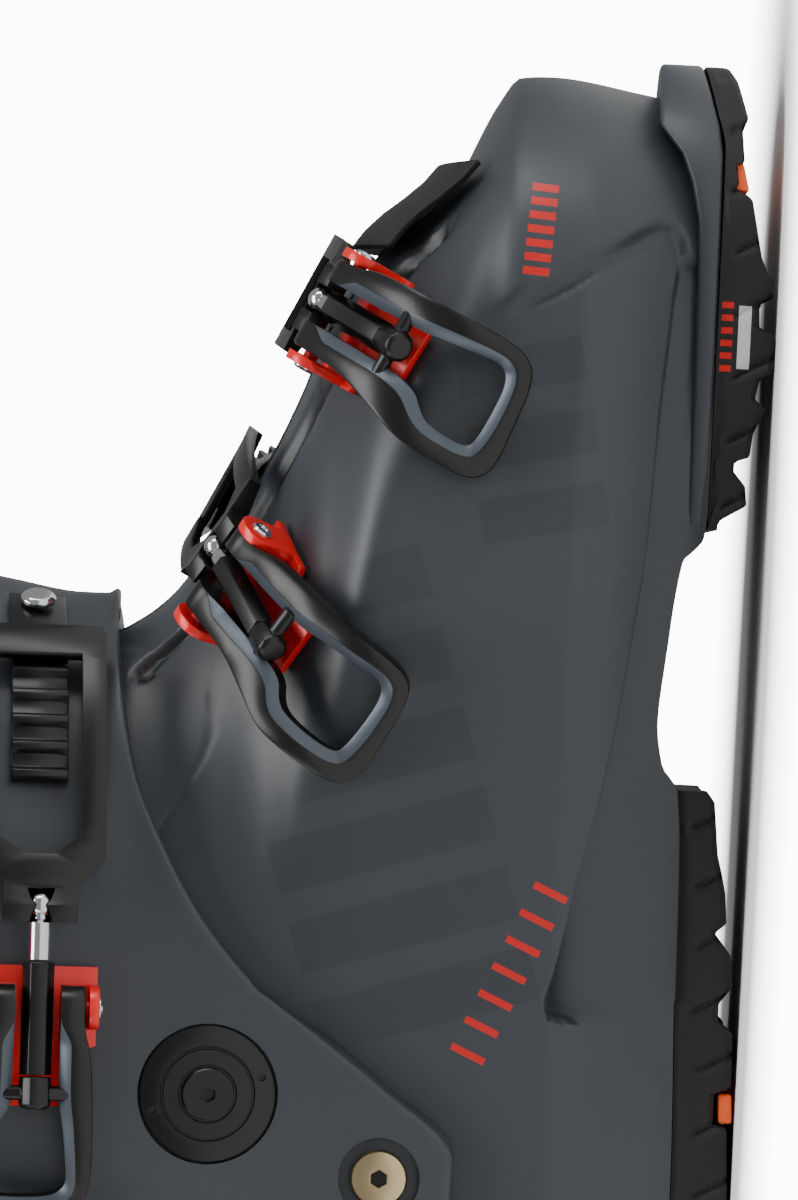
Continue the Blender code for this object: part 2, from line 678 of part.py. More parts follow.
def liner():
    heights = [37.5, 42, 56, 68, 80, 88, 94]

    def lift(floor_shift):
        def at(x, height):
            base = 37.0 - 6.0 * float(smooth((x - 90) / 110)) + 1.0 + floor_shift
            share = max(0.0, (60.0 - height) / (60.0 - 37.5))
            z = height + (base - 37.5) * share
            return z + (float(rim_height(x)) - 6.0 - 94.0) * max(0.0, (height - 56.0) / 38.0)
        return at

    inner = [94, 86, 76, 60, 46, 37.5]
    shape = vessel(SHELL_SKIN, LINER_OUT, LINER_IN, heights, inner, lift(0.0), lift(5.0), 14)
    store("liner_foot", *shape, "liner")

    def low(theta):
        share = 0.5 * (1 - math.cos(theta))
        return 104.0 + 36.0 * share

    def high(theta):
        share = 0.5 * (1 - math.cos(theta))
        return LINER_TOP_REAR + (LINER_TOP_FRONT - LINER_TOP_REAR) * share

    store("liner_shaft", *wall_panel(LEG_SKIN, LINER_OUT, LINER_IN, (-138, 138), low, high, 6, 21), "liner")
    store("liner_tongue", *wall_panel(
        LEG_SKIN, LINER_OUT, LINER_IN + 2.0, (141, 219), lambda t: 141.0,
        lambda t: LINER_TOP_FRONT + TONGUE_RISE, 8, 11), "liner")


def upper_fittings():
    strap_in = CUFF_OUT - 0.8
    store("power_strap", *wall_panel(
        LEG_SKIN, strap_in - STRAP_THICKNESS, strap_in, (0, 360), lambda t: STRAP_LOW,
        lambda t: STRAP_LOW + STRAP_WIDTH, 2, 32, closed=True), "webbing")
    cam_in = strap_in - STRAP_THICKNESS - 0.8
    store("strap_cam", *wall_panel(
        LEG_SKIN, cam_in - CAM_THICKNESS, cam_in, (-122, -98), lambda t: STRAP_LOW + 3,
        lambda t: STRAP_LOW + STRAP_WIDTH - 3, 3, 7), "black")
    store("spine_blade", *wall_panel(
        LEG_SKIN, CUFF_OUT - 4.6, CUFF_OUT - 0.6, (-24, 24), lambda t: 84.0, lambda t: 186.0, 7, 9), "black")
    store("spoiler", *wall_panel(
        LEG_SKIN, CUFF_IN + GAP, LINER_OUT - 0.5, (-48, 48), lambda t: 196.0,
        lambda t: CUFF_REAR_TOP + 13 - 20 * abs(math.sin(t)), 6, 13), "black")
    for name, z in (("lower_spine_bolt", 100.0), ("upper_spine_bolt", 168.0)):
        x = float(LEG_SKIN.rear(z, CUFF_OUT - 4.6))
        lean = math.atan2(float(LEG_SKIN.rear(z + 5, 0) - LEG_SKIN.rear(z - 5, 0)), 10.0)
        out = np.array([-math.cos(lean), 0, math.sin(lean)])
        middle = np.array([x, 0.0, z])
        head = [(3.6, 3.2), (4.6, 2.4), (4.6, 0.8)]
        store(name, *placed(turned(head, 16), middle, pointing(out)), "chrome", origin=middle)

    arch = []
    base = LEG_SKIN.around(0.0, LINER_TOP_REAR, 0.5 * (LINER_OUT + LINER_IN))
    for i in range(13):
        a = math.pi * i / 12
        arch.append((math.cos(a) * 15.0, base[2] + 0.6 + math.sin(a) * 22.0))
    points, faces = [], []
    for i, (y, z) in enumerate(arch):
        a = math.pi * i / 12
        for dx, dr in ((-4, 0), (4, 0), (4, 1.8), (-4, 1.8)):
            points.append((base[0] + dx, y + math.cos(a) * dr, z + math.sin(a) * dr))
    for i in range(12):
        faces += [(4 * i + k, 4 * i + (k + 1) % 4, 4 * i + 4 + (k + 1) % 4, 4 * i + 4 + k) for k in range(4)]
    faces += [(0, 1, 2, 3), (51, 50, 49, 48)]
    store("pull_loop", points, faces, "webbing")


class Track:
    """The line of a buckle round the boot. Flat buckle coordinates bend onto it.

    s runs along the surface from the lever's pivot towards the lever's free end, w across it and h away
    from the surface.
    """

    ROWS = (-16.0, 0.0, 16.0)

    def __init__(self, skin, inset, pivot, along):
        self.along = np.array([along[0], 0.0, along[1]])
        self.along /= np.linalg.norm(self.along)
        across = np.array([-self.along[2], 0.0, self.along[0]])
        self.base = skin.spot(*pivot, -1, inset)
        reach = 8.0
        sides = [skin.spot(pivot[0] + across[0] * w, pivot[1] + across[2] * w, -1, inset)
                 for w in (-reach, reach)]
        self.axis = across + np.array([0.0, (sides[1][1] - sides[0][1]) / (2 * reach), 0.0])
        self.axis /= np.linalg.norm(self.axis)
        self.inwards = np.cross(self.along, self.axis)
        self.inwards *= math.copysign(1.0, self.inwards[1])
        self.rows = [self.section(skin, inset, self.base + self.axis * w) for w in self.ROWS]

    def section(self, skin, inset, start):
        """The outline of the boot in the plane through start, as lengths and flat points."""
        angles = np.radians(np.linspace(300.0, 12.0, 220))
        depth = abs(start[1]) / self.inwards[1]
        middle = np.array([18.0, depth])
        rays = np.stack([np.cos(angles), -np.sin(angles)], axis=1)
        near, far = np.zeros(len(angles)), np.full(len(angles), 160.0)
        for _ in range(36):
            half = 0.5 * (near + far)
            flat = middle + rays * half[:, None]
            p = start + flat[:, :1] * self.along + flat[:, 1:] * self.inwards
            side = np.where(p[:, 1] < centre_line(p[:, 0]), -1, 1)
            wide = skin.half_width(p[:, 0], p[:, 2], side, inset)
            inside = np.abs(p[:, 1] - centre_line(p[:, 0])) < wide
            near, far = np.where(inside, half, near), np.where(inside, far, half)
        flat = middle + rays * near[:, None]
        length = np.concatenate([[0.0], np.cumsum(np.linalg.norm(np.diff(flat, axis=0), axis=1))])
        outer = np.flatnonzero((angles > math.radians(30)) & (angles < math.radians(150)))
        zero = np.interp(0.0, flat[outer, 0], length[outer])
        return length - zero, flat, start

    def edge(self, row, s):
        lengths, flat, start = self.rows[row]
        place = np.array([np.interp(s, lengths, flat[:, 0]), np.interp(s, lengths, flat[:, 1])])
        ahead = np.array([np.interp(s + 2.5, lengths, flat[:, 0]), np.interp(s + 2.5, lengths, flat[:, 1])])
        back = np.array([np.interp(s - 2.5, lengths, flat[:, 0]), np.interp(s - 2.5, lengths, flat[:, 1])])
        run = (ahead - back) / np.linalg.norm(ahead - back)
        out = np.array([run[1], -run[0]])
        return place, out, start

    def point(self, s, w, h):
        spots = []
        for row in range(3):
            place, out, start = self.edge(row, s)
            flat = place + out * h
            spots.append(start + self.along * flat[0] + self.inwards * flat[1])
        share = (w - self.ROWS[0]) / (self.ROWS[2] - self.ROWS[0]) * 2
        low = min(max(int(share), 0), 1)
        return spots[low] * (1 - (share - low)) + spots[low + 1] * (share - low)

    def rigid(self, s, w, h):
        """Like point, but straight across, for pieces that must not twist."""
        place, out, start = self.edge(1, s)
        flat = place + out * h
        return start + self.along * flat[0] + self.inwards * flat[1] + self.axis * w

    def bent(self, shape, step, follow):
        """Bends a flat shape; follow(s, h) is 1 where it hugs the surface, 0 where it stays straight."""
        points, faces = sliced(shape, step)
        moved = []
        for s, w, h in points:
            share = float(follow(s, h))
            moved.append(tuple(self.point(s, w, h) * share + self.rigid(s, w, h) * (1 - share)))
        return moved, faces


def buckle(name, spec):
    skin, inset = (LEG_SKIN, CUFF_OUT) if spec["on_cuff"] else (SHELL_SKIN, 0.0)
    track = Track(skin, inset, spec["pivot"], spec["along"])
    bend_step = 5.0 if spec["on_cuff"] else 3.0  # the ridge of the shell bends tightly
    hug = spec["hug"]
    centre = LEVER_PIVOT_HEIGHT
    ear = EAR_HALF_GAP + EAR_THICKNESS
    pivot = track.rigid(0, 0, centre)

    # base: floor, tongue under the lever, two ears with a riveted stud each
    floor = [(-8, -ear), (8, -ear), (11, -5.5), (20.5, -5.5), (20.5, 5.5), (11, 5.5), (8, ear), (-8, ear)]
    pieces = [prism(floor, SEAT, SEAT + 1.8, "h")]
    for side in (-1, 1):
        outline = [(-EAR_RADIUS, SEAT + 0.9), (EAR_RADIUS, SEAT + 0.9)]
        outline += [(EAR_RADIUS * math.cos(a), centre + EAR_RADIUS * math.sin(a))
                    for a in [math.pi * i / 8 for i in range(9)]]
        low, high = sorted((side * EAR_HALF_GAP, side * ear))
        pieces.append(prism(outline, low, high, "w"))
        low, high = sorted((side * 5.4, side * (EAR_HALF_GAP + 1.0)))
        pieces.append(prism(circle((0, centre), STUD_RADIUS, 10), low, high, "w"))
    follow_low = lambda s, h: 1 - smooth((h - 2.8) / 3.0)
    store(f"{name}_buckle_base", *track.bent(join(*pieces), 4.0, follow_low), "red")

    # lever: a bowed plate with two arms and a finger window
    far = spec["lever"]
    side_view = [(LEVER_BOSS_RADIUS * math.cos(a), centre + LEVER_BOSS_RADIUS * math.sin(a))
                 for a in [math.radians(d) for d in (250, 215, 180, 145, 110, 75)]]
    side_view += [(0.28 * far, 12.7), (0.5 * far, 11.0), (0.78 * far, 8.8), (far, 6.4), (far, 3.8),
                  (0.88 * far, 3.8), (0.5 * far, 6.0), (0.24 * far, 7.0)]
    plan = [(-6, -9.6), (0.16 * far, -9.8), (0.47 * far, -12.6), (0.58 * far, -16.0), (0.92 * far, -16.2),
            (far, -12.0), (0.96 * far, 6.0), (0.92 * far, 9.6), (0.8 * far, 12.4),
            (EAR_RADIUS + 4.5, 11.6), (EAR_RADIUS + 1.0, 10.1), (-6, 10.1)]
    t = spec["trunnion"]
    window = [(t + 4.6, -3.4), (t + 8.0, -9.5), (0.84 * far, -10.6), (0.86 * far, 4.8), (0.8 * far, 7.6),
              (t + 4.6, 6.4)]
    slot = [(-7, -4.2), (t + 5.0, -4.2), (t + 5.0, 5.2), (-7, 5.2)]
    rod_height = centre + 0.2
    body = cut_or_join("INTERSECT", prism(side_view, -20, 20, "w"), prism(plan, -5, 25, "h"))
    body = cut(body, prism(window, -6, 30, "h"), prism(slot, -6, 30, "h"),
               prism(circle((0, centre), STUD_RADIUS + PIN_CLEARANCE, 10), -25, 25, "w"),
               prism(circle((t, rod_height), TRUNNION_RADIUS + PIN_CLEARANCE, 10), -25, 25, "w"))
    store(f"{name}_buckle_lever", *track.bent(body, 5.5, lambda s, h: 0.0), "black", origin=pivot)

    # trunnion, adjuster barrel and threaded rod, in a straight line to the claw's hinge
    start = track.rigid(t, 0.5, rod_height)
    hinge = track.rigid(spec["hinge"], 0.5, centre - 0.6)
    pull = hinge - start
    length = float(np.linalg.norm(pull))
    turn = pointing(pull, track.axis)
    core = turned([(2.4, -TRUNNION_BLOCK), (TRUNNION_BLOCK, -2.4), (TRUNNION_BLOCK, TRUNNION_BLOCK)], 10)
    cross = prism(circle((0, 0), TRUNNION_RADIUS, 10), -8.4, 8.4, "s")
    store(f"{name}_buckle_trunnion", *placed(join(core, cross), start, turn), "chrome", origin=start)
    sleeve_end = max(TRUNNION_BLOCK + 7.0, length - BALL_RADIUS - (9.0 if spec["on_cuff"] else 4.0))
    sleeve = tube(BARREL_RADIUS, ROD_RADIUS + PIN_CLEARANCE, TRUNNION_BLOCK + GAP, sleeve_end, 6)
    store(f"{name}_buckle_barrel", *placed(sleeve, start, turn), "black", origin=start)
    ball = [(BALL_RADIUS * math.cos(a), length + BALL_RADIUS * math.sin(a))
            for a in [math.radians(d) for d in (-50, -10, 35, 75)]]
    rod = [(ROD_RADIUS - 0.3, TRUNNION_BLOCK + 3.0), (ROD_RADIUS, TRUNNION_BLOCK + 3.6),
           (ROD_RADIUS, ball[0][1] - 0.3)] + ball
    store(f"{name}_buckle_rod", *placed(turned(rod, 12), start, turn), "chrome", origin=start)

    # claw: a bowed frame that hooks the ladder, with its hinge round the rod's ball
    near, end = spec["hinge"], spec["claw_end"]
    lift = SEAT + LADDER_THICKNESS + TOOTH_HEIGHT + GAP + 0.2
    top = lift + CLAW_THICKNESS
    profile = [(near + 3.4, centre - 3.2), (near + 3.4, centre + 1.2), (near, centre + 2.2),
               (near - 5, top + 2.0), (near - 10, top), (end, top), (end - 1.2, top - 1.4),
               (end - 0.3, SEAT + LADDER_THICKNESS + 1.1), (end + 0.3, SEAT + LADDER_THICKNESS + 1.1),
               (end + 1.0, lift), (near - 9, lift), (near - 4.4, lift + 0.4)]
    narrow = 7.6
    outline = [(near + 5, -narrow + 0.5), (near + 5, narrow + 0.5), (near - 4, narrow + 0.5),
               (near - 9, CLAW_HALF_WIDTH + 0.5), (end + 2, CLAW_HALF_WIDTH + 0.5),
               (end - 3, CLAW_HALF_WIDTH - 1.5), (end - 3, -CLAW_HALF_WIDTH + 2.5),
               (end + 2, -CLAW_HALF_WIDTH + 0.5), (near - 9, -CLAW_HALF_WIDTH + 0.5), (near - 4, -narrow + 0.5)]
    inner = CLAW_HALF_WIDTH - CLAW_BAR
    opening = [(near - 9.5, -3.0), (near - 13, -inner), (end + 7, -inner), (end + 7, inner),
               (near - 13, inner), (near - 9.5, 3.0)]
    frame = cut_or_join("INTERSECT", prism(profile, -20, 20, "w"), prism(outline, -5, 30, "h"))
    frame = cut(frame, prism(opening, -6, 30, "h"))
    points, faces = track.bent(frame, bend_step, lambda s, h: hug * smooth((near - 4.0 - s) / 12.0))
    clear = placed(turned([(BALL_RADIUS + GAP, -30.0), (BALL_RADIUS + GAP, BALL_RADIUS + 0.8)], 16),
                   hinge, turn)
    cap = placed(block((-3.1, 3.1), (-3.1, 3.1), (-30, 2.9)), hinge, turn)
    frame = cut((points, faces), clear if spec["on_cuff"] else cap)
    store(f"{name}_buckle_claw", *frame, "black", origin=hinge)

    # ladder: a strip with saw teeth, held by one screw at its far end
    first, last = spec["ladder"]
    screw_at = last + 5.0
    saw = [(first, SEAT), (last, SEAT), (last, SEAT + LADDER_THICKNESS)]
    count = int((first - screw_at - 6.0) / LADDER_PITCH)
    base_line = SEAT + LADDER_THICKNESS
    shift = (end - first + 0.5 * LADDER_PITCH) % LADDER_PITCH
    for i in range(count, 0, -1):
        at = first - i * LADDER_PITCH + shift
        if at < screw_at + 6.4:
            continue
        tip = base_line + TOOTH_HEIGHT
        saw += [(at - 1.9, base_line), (at - 0.9, tip), (at + 0.3, tip), (at + 1.1, base_line)]
    saw.append((first, base_line))
    strip = prism(saw, -LADDER_HALF_WIDTH, LADDER_HALF_WIDTH, "w")
    store(f"{name}_buckle_ladder", *track.bent(strip, bend_step, lambda s, h: hug), "black")
    place = track.point(screw_at, 0, base_line + 3 * GAP)
    up = track.point(screw_at, 0, base_line + 5.0) - place
    head = [(3.75, 0.0), (3.75, 0.9), (2.8, 1.7)]
    store(f"{name}_ladder_screw", *placed(turned(head, 14), place, pointing(up)), "chrome", origin=place)


def throat_seal():
    """The dark flexible gusset between the two shell flaps, just behind the toe box."""
    points, faces = [], []
    xs = np.linspace(281, 263, 6)
    rows = []
    for offset in (SEAT, SEAT + 1.5):
        for x in xs:
            heights, reach = SHELL_SKIN.line("front", 0.0)
            ridge = np.interp(x, reach[::-1], heights[::-1])
            for share in np.linspace(-1, 1, 9):
                z = ridge - 7.5 * share * share - 0.02
                side = -1 if share < 0 else 1
                p = SHELL_SKIN.spot(float(x), float(z), side, 0.0) if abs(share) > 0.01 else \
                    np.array([x, float(centre_line(x)), ridge])
                out = SHELL_SKIN.normal(float(x) - 3, float(z) - 2, side, 0.0) if abs(share) > 0.2 else \
                    np.array([0.62, 0, 0.78])
                rows.append(p + out * offset)
    size = len(xs) * 9
    points = rows
    faces = grid_faces(len(xs), 9, 0, False) + grid_faces(len(xs), 9, size, False)
    for i in range(len(xs) - 1):
        for edge in (0, 8):
            a, b = i * 9 + edge, (i + 1) * 9 + edge
            faces.append((a, b, size + b, size + a))
    for k in range(8):
        for edge in (0, (len(xs) - 1) * 9):
            a, b = edge + k, edge + k + 1
            faces.append((a, b, size + b, size + a))
    store("throat_seal", points, faces, "rubber")


def centre_everything():
    """Moves the boot so that its origin is under the middle of its bounding box, on the ground."""
    bpy.context.view_layer.update()
    corners = np.array([part.matrix_world @ v.co for part in made.values() for v in part.data.vertices])
    low, high = corners.min(axis=0), corners.max(axis=0)
    root = bpy.data.objects.new("boot", None)
    bpy.context.collection.objects.link(root)
    for part in made.values():
        part.parent = root
    root.location = (-(low[0] + high[0]) / 2, -(low[1] + high[1]) / 2, -low[2])
    bpy.context.view_layer.update()


def main():
    for old in list(bpy.data.objects):
        bpy.data.objects.remove(old)
    lower_shell()
    cuff()
    cuff_fittings()
    soles()
    boot_board()
    liner()
    upper_fittings()
    throat_seal()
    for name, spec in BUCKLES.items():
        buckle(name, spec)
    centre_everything()


main()
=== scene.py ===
import json
import math

import bmesh
import bpy
import numpy as np
from mathutils import Matrix, Vector
from mathutils.kdtree import KDTree

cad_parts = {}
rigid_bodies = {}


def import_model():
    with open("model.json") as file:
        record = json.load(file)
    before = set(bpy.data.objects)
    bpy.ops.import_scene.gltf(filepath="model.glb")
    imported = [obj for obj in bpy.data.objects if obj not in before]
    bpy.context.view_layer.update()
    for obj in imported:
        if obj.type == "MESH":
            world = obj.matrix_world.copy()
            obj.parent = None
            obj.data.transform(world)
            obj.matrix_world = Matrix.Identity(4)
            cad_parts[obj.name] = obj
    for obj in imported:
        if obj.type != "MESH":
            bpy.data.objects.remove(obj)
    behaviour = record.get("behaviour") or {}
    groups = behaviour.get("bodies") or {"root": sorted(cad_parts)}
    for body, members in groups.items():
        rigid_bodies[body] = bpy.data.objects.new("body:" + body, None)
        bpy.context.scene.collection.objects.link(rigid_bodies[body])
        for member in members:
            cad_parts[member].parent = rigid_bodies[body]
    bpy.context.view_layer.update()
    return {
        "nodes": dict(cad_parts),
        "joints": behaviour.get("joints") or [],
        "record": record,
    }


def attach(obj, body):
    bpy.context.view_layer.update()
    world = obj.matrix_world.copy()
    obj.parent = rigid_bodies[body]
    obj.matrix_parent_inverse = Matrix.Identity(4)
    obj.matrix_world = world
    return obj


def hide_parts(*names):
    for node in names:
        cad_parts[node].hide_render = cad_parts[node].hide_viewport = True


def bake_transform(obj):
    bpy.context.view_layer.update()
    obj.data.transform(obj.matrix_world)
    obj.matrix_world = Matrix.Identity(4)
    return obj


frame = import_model()

mm = 0.001
flexJoint = next(joint for joint in frame["joints"] if joint["name"] == "cuff_flex")
pivotPoint = np.array(flexJoint["pos_m"]) / mm
# drawing coordinates: x = 0 at the rear end of the sole, y = 0 on its centre line, z = 0 on the ground
pivotSpot = (72.8, 72.4)
offset = pivotPoint - np.array([pivotSpot[0], 0.0, pivotSpot[1]])


def smooth(t):
    t = np.clip(t, 0.0, 1.0)
    return t * t * (3.0 - 2.0 * t)


# monotone cubic through (x, y) points, level beyond its ends
def curveThrough(points):
    x, y = np.array(points, float).T
    step = np.diff(x)
    rise = np.diff(y) / step
    slope = np.zeros(len(x))
    slope[0], slope[-1] = rise[0], rise[-1]
    same = rise[:-1] * rise[1:] > 0
    total = rise[:-1] + rise[1:]
    slope[1:-1][same] = (2 * rise[:-1] * rise[1:])[same] / total[same]

    def at(where):
        where = np.clip(where, x[0], x[-1])
        i = np.clip(np.searchsorted(x, where, side="right") - 1, 0, len(step) - 1)
        h = step[i]
        t = (where - x[i]) / h
        a = (1 + 2 * t) * (1 - t) ** 2 * y[i] + t * (1 - t) ** 2 * h * slope[i]
        b = t * t * (3 - 2 * t) * y[i + 1] + t * t * (t - 1) * h * slope[i + 1]
        return a + b

    return at


# distance to a closed outline in the side view, positive inside it
def edgeDistance(x, z, outline):
    x, z = np.asarray(x, float), np.asarray(z, float)
    nearest = np.full(x.shape, 1e9)
    inside = np.zeros(x.shape, bool)
    count = len(outline)
    for i in range(count):
        ax, az = outline[i]
        bx, bz = outline[(i + 1) % count]
        dx, dz = bx - ax, bz - az
        t = np.clip(((x - ax) * dx + (z - az) * dz) / (dx * dx + dz * dz + 1e-12), 0, 1)
        nearest = np.minimum(nearest, np.hypot(x - ax - t * dx, z - az - t * dz))
        if az != bz:
            crosses = ((az > z) != (bz > z)) & (x < (bx - ax) * (z - az) / (bz - az) + ax)
            inside ^= crosses
    return np.where(inside, nearest, -nearest)


# distance to an open line in the side view
def lineDistance(x, z, line):
    nearest = np.full(np.shape(x), 1e9)
    for (ax, az), (bx, bz) in zip(line[:-1], line[1:]):
        dx, dz = bx - ax, bz - az
        t = np.clip(((x - ax) * dx + (z - az) * dz) / (dx * dx + dz * dz), 0, 1)
        nearest = np.minimum(nearest, np.hypot(x - ax - t * dx, z - az - t * dz))
    return nearest


# x of the front and rear outlines at each height
frontLine = [
    (12.0, 296.0), (29.0, 299.0), (48.0, 301.6), (55.0, 301.2), (59.8, 296.5), (71.0, 278.5),
    (84.3, 266.0), (91.7, 251.5), (95.6, 237.0), (108.0, 209.7), (116.5, 197.0), (122.0, 189.6),
    (128.0, 184.5), (134.0, 181.5), (141.0, 181.4), (156.0, 183.4), (200.0, 191.5), (245.0, 200.0),
    (330.0, 213.0),
]
rearLine = [
    (12.0, 7.5), (35.0, 7.5), (48.0, 9.0), (62.0, 13.5), (78.0, 19.0), (100.0, 26.0), (150.0, 41.0),
    (220.0, 59.0), (330.0, 80.0),
]
skinForm = {
    "lateralWall": [(0, 37), (35, 38.5), (75, 38.5), (105, 40.5), (135, 46), (165, 53), (192, 58),
                    (220, 57), (250, 54), (310, 46)],
    "medialWall": [(0, 37), (35, 38.5), (75, 38.5), (105, 38.5), (135, 40), (165, 45), (192, 51),
                   (220, 53), (250, 52), (310, 46)],
    "soleWall": [(0, 34.5), (60, 34.5), (110, 31.5), (165, 33.5), (215, 38.5), (250, 36.5), (310, 34.5)],
    "legWall": [(70, 39), (110, 41), (150, 44.5), (200, 48.5), (250, 52.5), (330, 57)],
    "frontRounding": [(12, 48), (55, 50), (70, 52), (80, 75), (90, 108), (100, 106), (110, 90),
                      (120, 78), (134, 64), (160, 62), (330, 72)],
    "rearRounding": [(12, 34), (60, 35), (110, 44), (200, 52), (330, 56)],
    "centreLine": [(0, 0), (120, 0), (200, 1.5), (310, 4.5)],
}
skin = {name: curveThrough(points) for name, points in skinForm.items()}
outlineCache = {}


# front or rear outline moved inwards along its normal
def outlineAt(which, z, inset):
    key = which, round(float(inset), 3)
    if key not in outlineCache:
        line = curveThrough(frontLine if which == "front" else rearLine)
        heights = np.linspace(12.0, 330.0, 1500)
        x = line(heights)
        dx, dz = np.gradient(x), np.gradient(heights)
        size = np.hypot(dx, dz)
        away = 1.0 if which == "front" else -1.0
        movedX = x - inset * away * dz / size
        movedZ = heights + inset * away * dx / size
        top = np.maximum.accumulate(movedZ)
        keep = np.concatenate([[True], movedZ[1:] > top[:-1] + 1e-6])
        outlineCache[key] = movedZ[keep], movedX[keep]
    heights, x = outlineCache[key]
    return np.interp(z, heights, x)


def halfWidth(x, z, side, inset):
    wall = np.where(side < 0, skin["lateralWall"](x), skin["medialWall"](x))
    low = skin["soleWall"](x)
    foot = low + (wall - low) * smooth((z - 13.0) / 27.0)
    leg = smooth((z - 78.0) / 52.0)
    width = foot * (1 - leg) + skin["legWall"](z) * leg - inset
    ahead = np.clip((outlineAt("front", z, inset) - x) / skin["frontRounding"](z), 0, 1)
    behind = np.clip((x - outlineAt("rear", z, inset)) / skin["rearRounding"](z), 0, 1)
    power = 2.35 - 0.35 * smooth((z - 60.0) / 30.0)
    nose = (1 - (1 - ahead) ** power) ** (1 / power)
    return np.maximum(width, 0.0) * nose * np.sqrt(1 - (1 - behind) ** 2)


# points round the boot: angle 0 at the heel, -90 degrees on the outer side, 180 at the front
def around(theta, z, inset, zOf=None):
    share = 0.5 * (1 - np.cos(theta))
    side = np.where(np.sin(theta) < 0, -1.0, 1.0)
    z = np.broadcast_to(np.asarray(z, float), share.shape).copy()
    for _ in range(24 if zOf else 1):
        rear = outlineAt("rear", z, inset)
        x = rear + (outlineAt("front", z, inset) - rear) * share
        if zOf:
            z = 0.5 * z + 0.5 * zOf(x)
    y = skin["centreLine"](x) + side * halfWidth(x, z, side, inset)
    return np.stack([x, y, z], axis=-1)


def spot(x, z, side, inset):
    x, z = np.asarray(x, float), np.asarray(z, float)
    y = skin["centreLine"](x) + side * halfWidth(x, z, side, inset)
    return np.stack([x, y, z], axis=-1)


def spotNormal(x, z, side, inset):
    du = spot(x + 0.5, z, side, inset) - spot(x - 0.5, z, side, inset)
    dv = spot(x, z + 0.5, side, inset) - spot(x, z - 0.5, side, inset)
    normal = np.cross(du, dv)
    normal /= np.linalg.norm(normal)
    return normal * (1 if normal[1] * side > 0 else -1)


def world(points):
    return (np.asarray(points, float) + offset) * mm


def linked(name, data):
    obj = bpy.data.objects.new(name, data)
    bpy.context.collection.objects.link(obj)
    return obj


def meshObject(name, points, faces, smoothAngle=35.0):
    mesh = bpy.data.meshes.new(name)
    mesh.from_pydata([tuple(p) for p in world(points)], [], [tuple(int(i) for i in f) for f in faces])
    mesh.update()
    obj = linked(name, mesh)
    tidyMesh(obj, smoothAngle)
    return obj


def tidyMesh(obj, smoothAngle, merge=1e-6):
    shape = bmesh.new()
    shape.from_mesh(obj.data)
    bmesh.ops.remove_doubles(shape, verts=shape.verts, dist=merge)
    bmesh.ops.dissolve_degenerate(shape, edges=shape.edges, dist=1e-7)
    bmesh.ops.recalc_face_normals(shape, faces=shape.faces)
    shape.to_mesh(obj.data)
    shape.free()
    obj.data.shade_smooth()
    obj.data.set_sharp_from_angle(angle=math.radians(smoothAngle))


def gridFaces(rows, columns, closed):
    r, c = np.meshgrid(np.arange(rows - 1), np.arange(columns if closed else columns - 1), indexing="ij")
    d = (c + 1) % columns
    quads = np.stack([r * columns + c, r * columns + d, (r + 1) * columns + d, (r + 1) * columns + c], -1)
    return quads.reshape(-1, 4)


# faces of a closed tube of rings, with both ends capped
def cappedFaces(rings, sides):
    faces = [tuple(f) for f in gridFaces(rings, sides, True)]
    return faces + [tuple(range(sides)), tuple((rings - 1) * sides + k for k in range(sides))]


# normals of a grid of points given as rows x columns x 3
def gridNormals(points, closed):
    down = np.gradient(points, axis=0)
    if closed:
        along = (np.roll(points, -1, axis=1) - np.roll(points, 1, axis=1)) * 0.5
    else:
        along = np.gradient(points, axis=1)
    normals = np.cross(along, down)
    return normals / np.maximum(np.linalg.norm(normals, axis=-1, keepdims=True), 1e-9)


# bakes the given modifiers into the mesh
def applied(obj, modifiers):
    bpy.context.view_layer.update()
    graph = bpy.context.evaluated_depsgraph_get()
    baked = bpy.data.meshes.new_from_object(obj.evaluated_get(graph))
    for modifier in modifiers:
        obj.modifiers.remove(modifier)
    old = obj.data
    obj.data = baked
    if old.users == 0:
        bpy.data.meshes.remove(old)
    return obj


def softened(obj, width, segments=2, angle=28.0):
    bevel = obj.modifiers.new("edges", "BEVEL")
    bevel.width = width * mm
    bevel.segments = segments
    bevel.limit_method = "ANGLE"
    bevel.angle_limit = math.radians(angle)
    applied(obj, [bevel])
    obj.data.shade_smooth()
    obj.data.set_sharp_from_angle(angle=math.radians(42))
    return obj


def subtract(obj, tool):
    cut = obj.modifiers.new("cut", "BOOLEAN")
    cut.operation = "DIFFERENCE"
    cut.solver = "EXACT"
    cut.object = tool
    applied(obj, [cut])
    bpy.data.objects.remove(tool)
    return obj


# solid of revolution: profile lists (radius, height) up the direction from the base
def turnedObject(name, base, direction, profile, sides=40, smoothAngle=35.0):
    turn = Vector(direction).to_track_quat("Z", "Y").to_matrix()
    points = []
    for radius, height in profile:
        for k in range(sides):
            a = 2 * math.pi * k / sides
            points.append(np.array(base) + np.array(turn @ Vector(
                (radius * math.cos(a), radius * math.sin(a), height))))
    return meshObject(name, points, cappedFaces(len(profile), sides), smoothAngle)


def hexColour(code):
    parts = [int(code[i:i + 2], 16) / 255 for i in (1, 3, 5)]
    linear = [c / 12.92 if c <= 0.04045 else ((c + 0.055) / 1.055) ** 2.4 for c in parts]
    return (*linear, 1.0)


# adds a shader node; links sets its inputs from sockets or constants by name or index
def addNode(tree, kind, links=None, **values):
    node = tree.nodes.new(kind)
    for name, value in values.items():
        setattr(node, name, value)
    for key, value in (links or {}).items():
        if isinstance(value, bpy.types.NodeSocket):
            tree.links.new(value, node.inputs[key])
        else:
            node.inputs[key].default_value = value
    return node


def newMaterial(name):
    material = bpy.data.materials.new(name)
    material.use_nodes = True
    tree, shader = material.node_tree, shaderOf(material)
    place = addNode(tree, "ShaderNodeTexCoord").outputs["Object"]
    return material, tree, shader, place


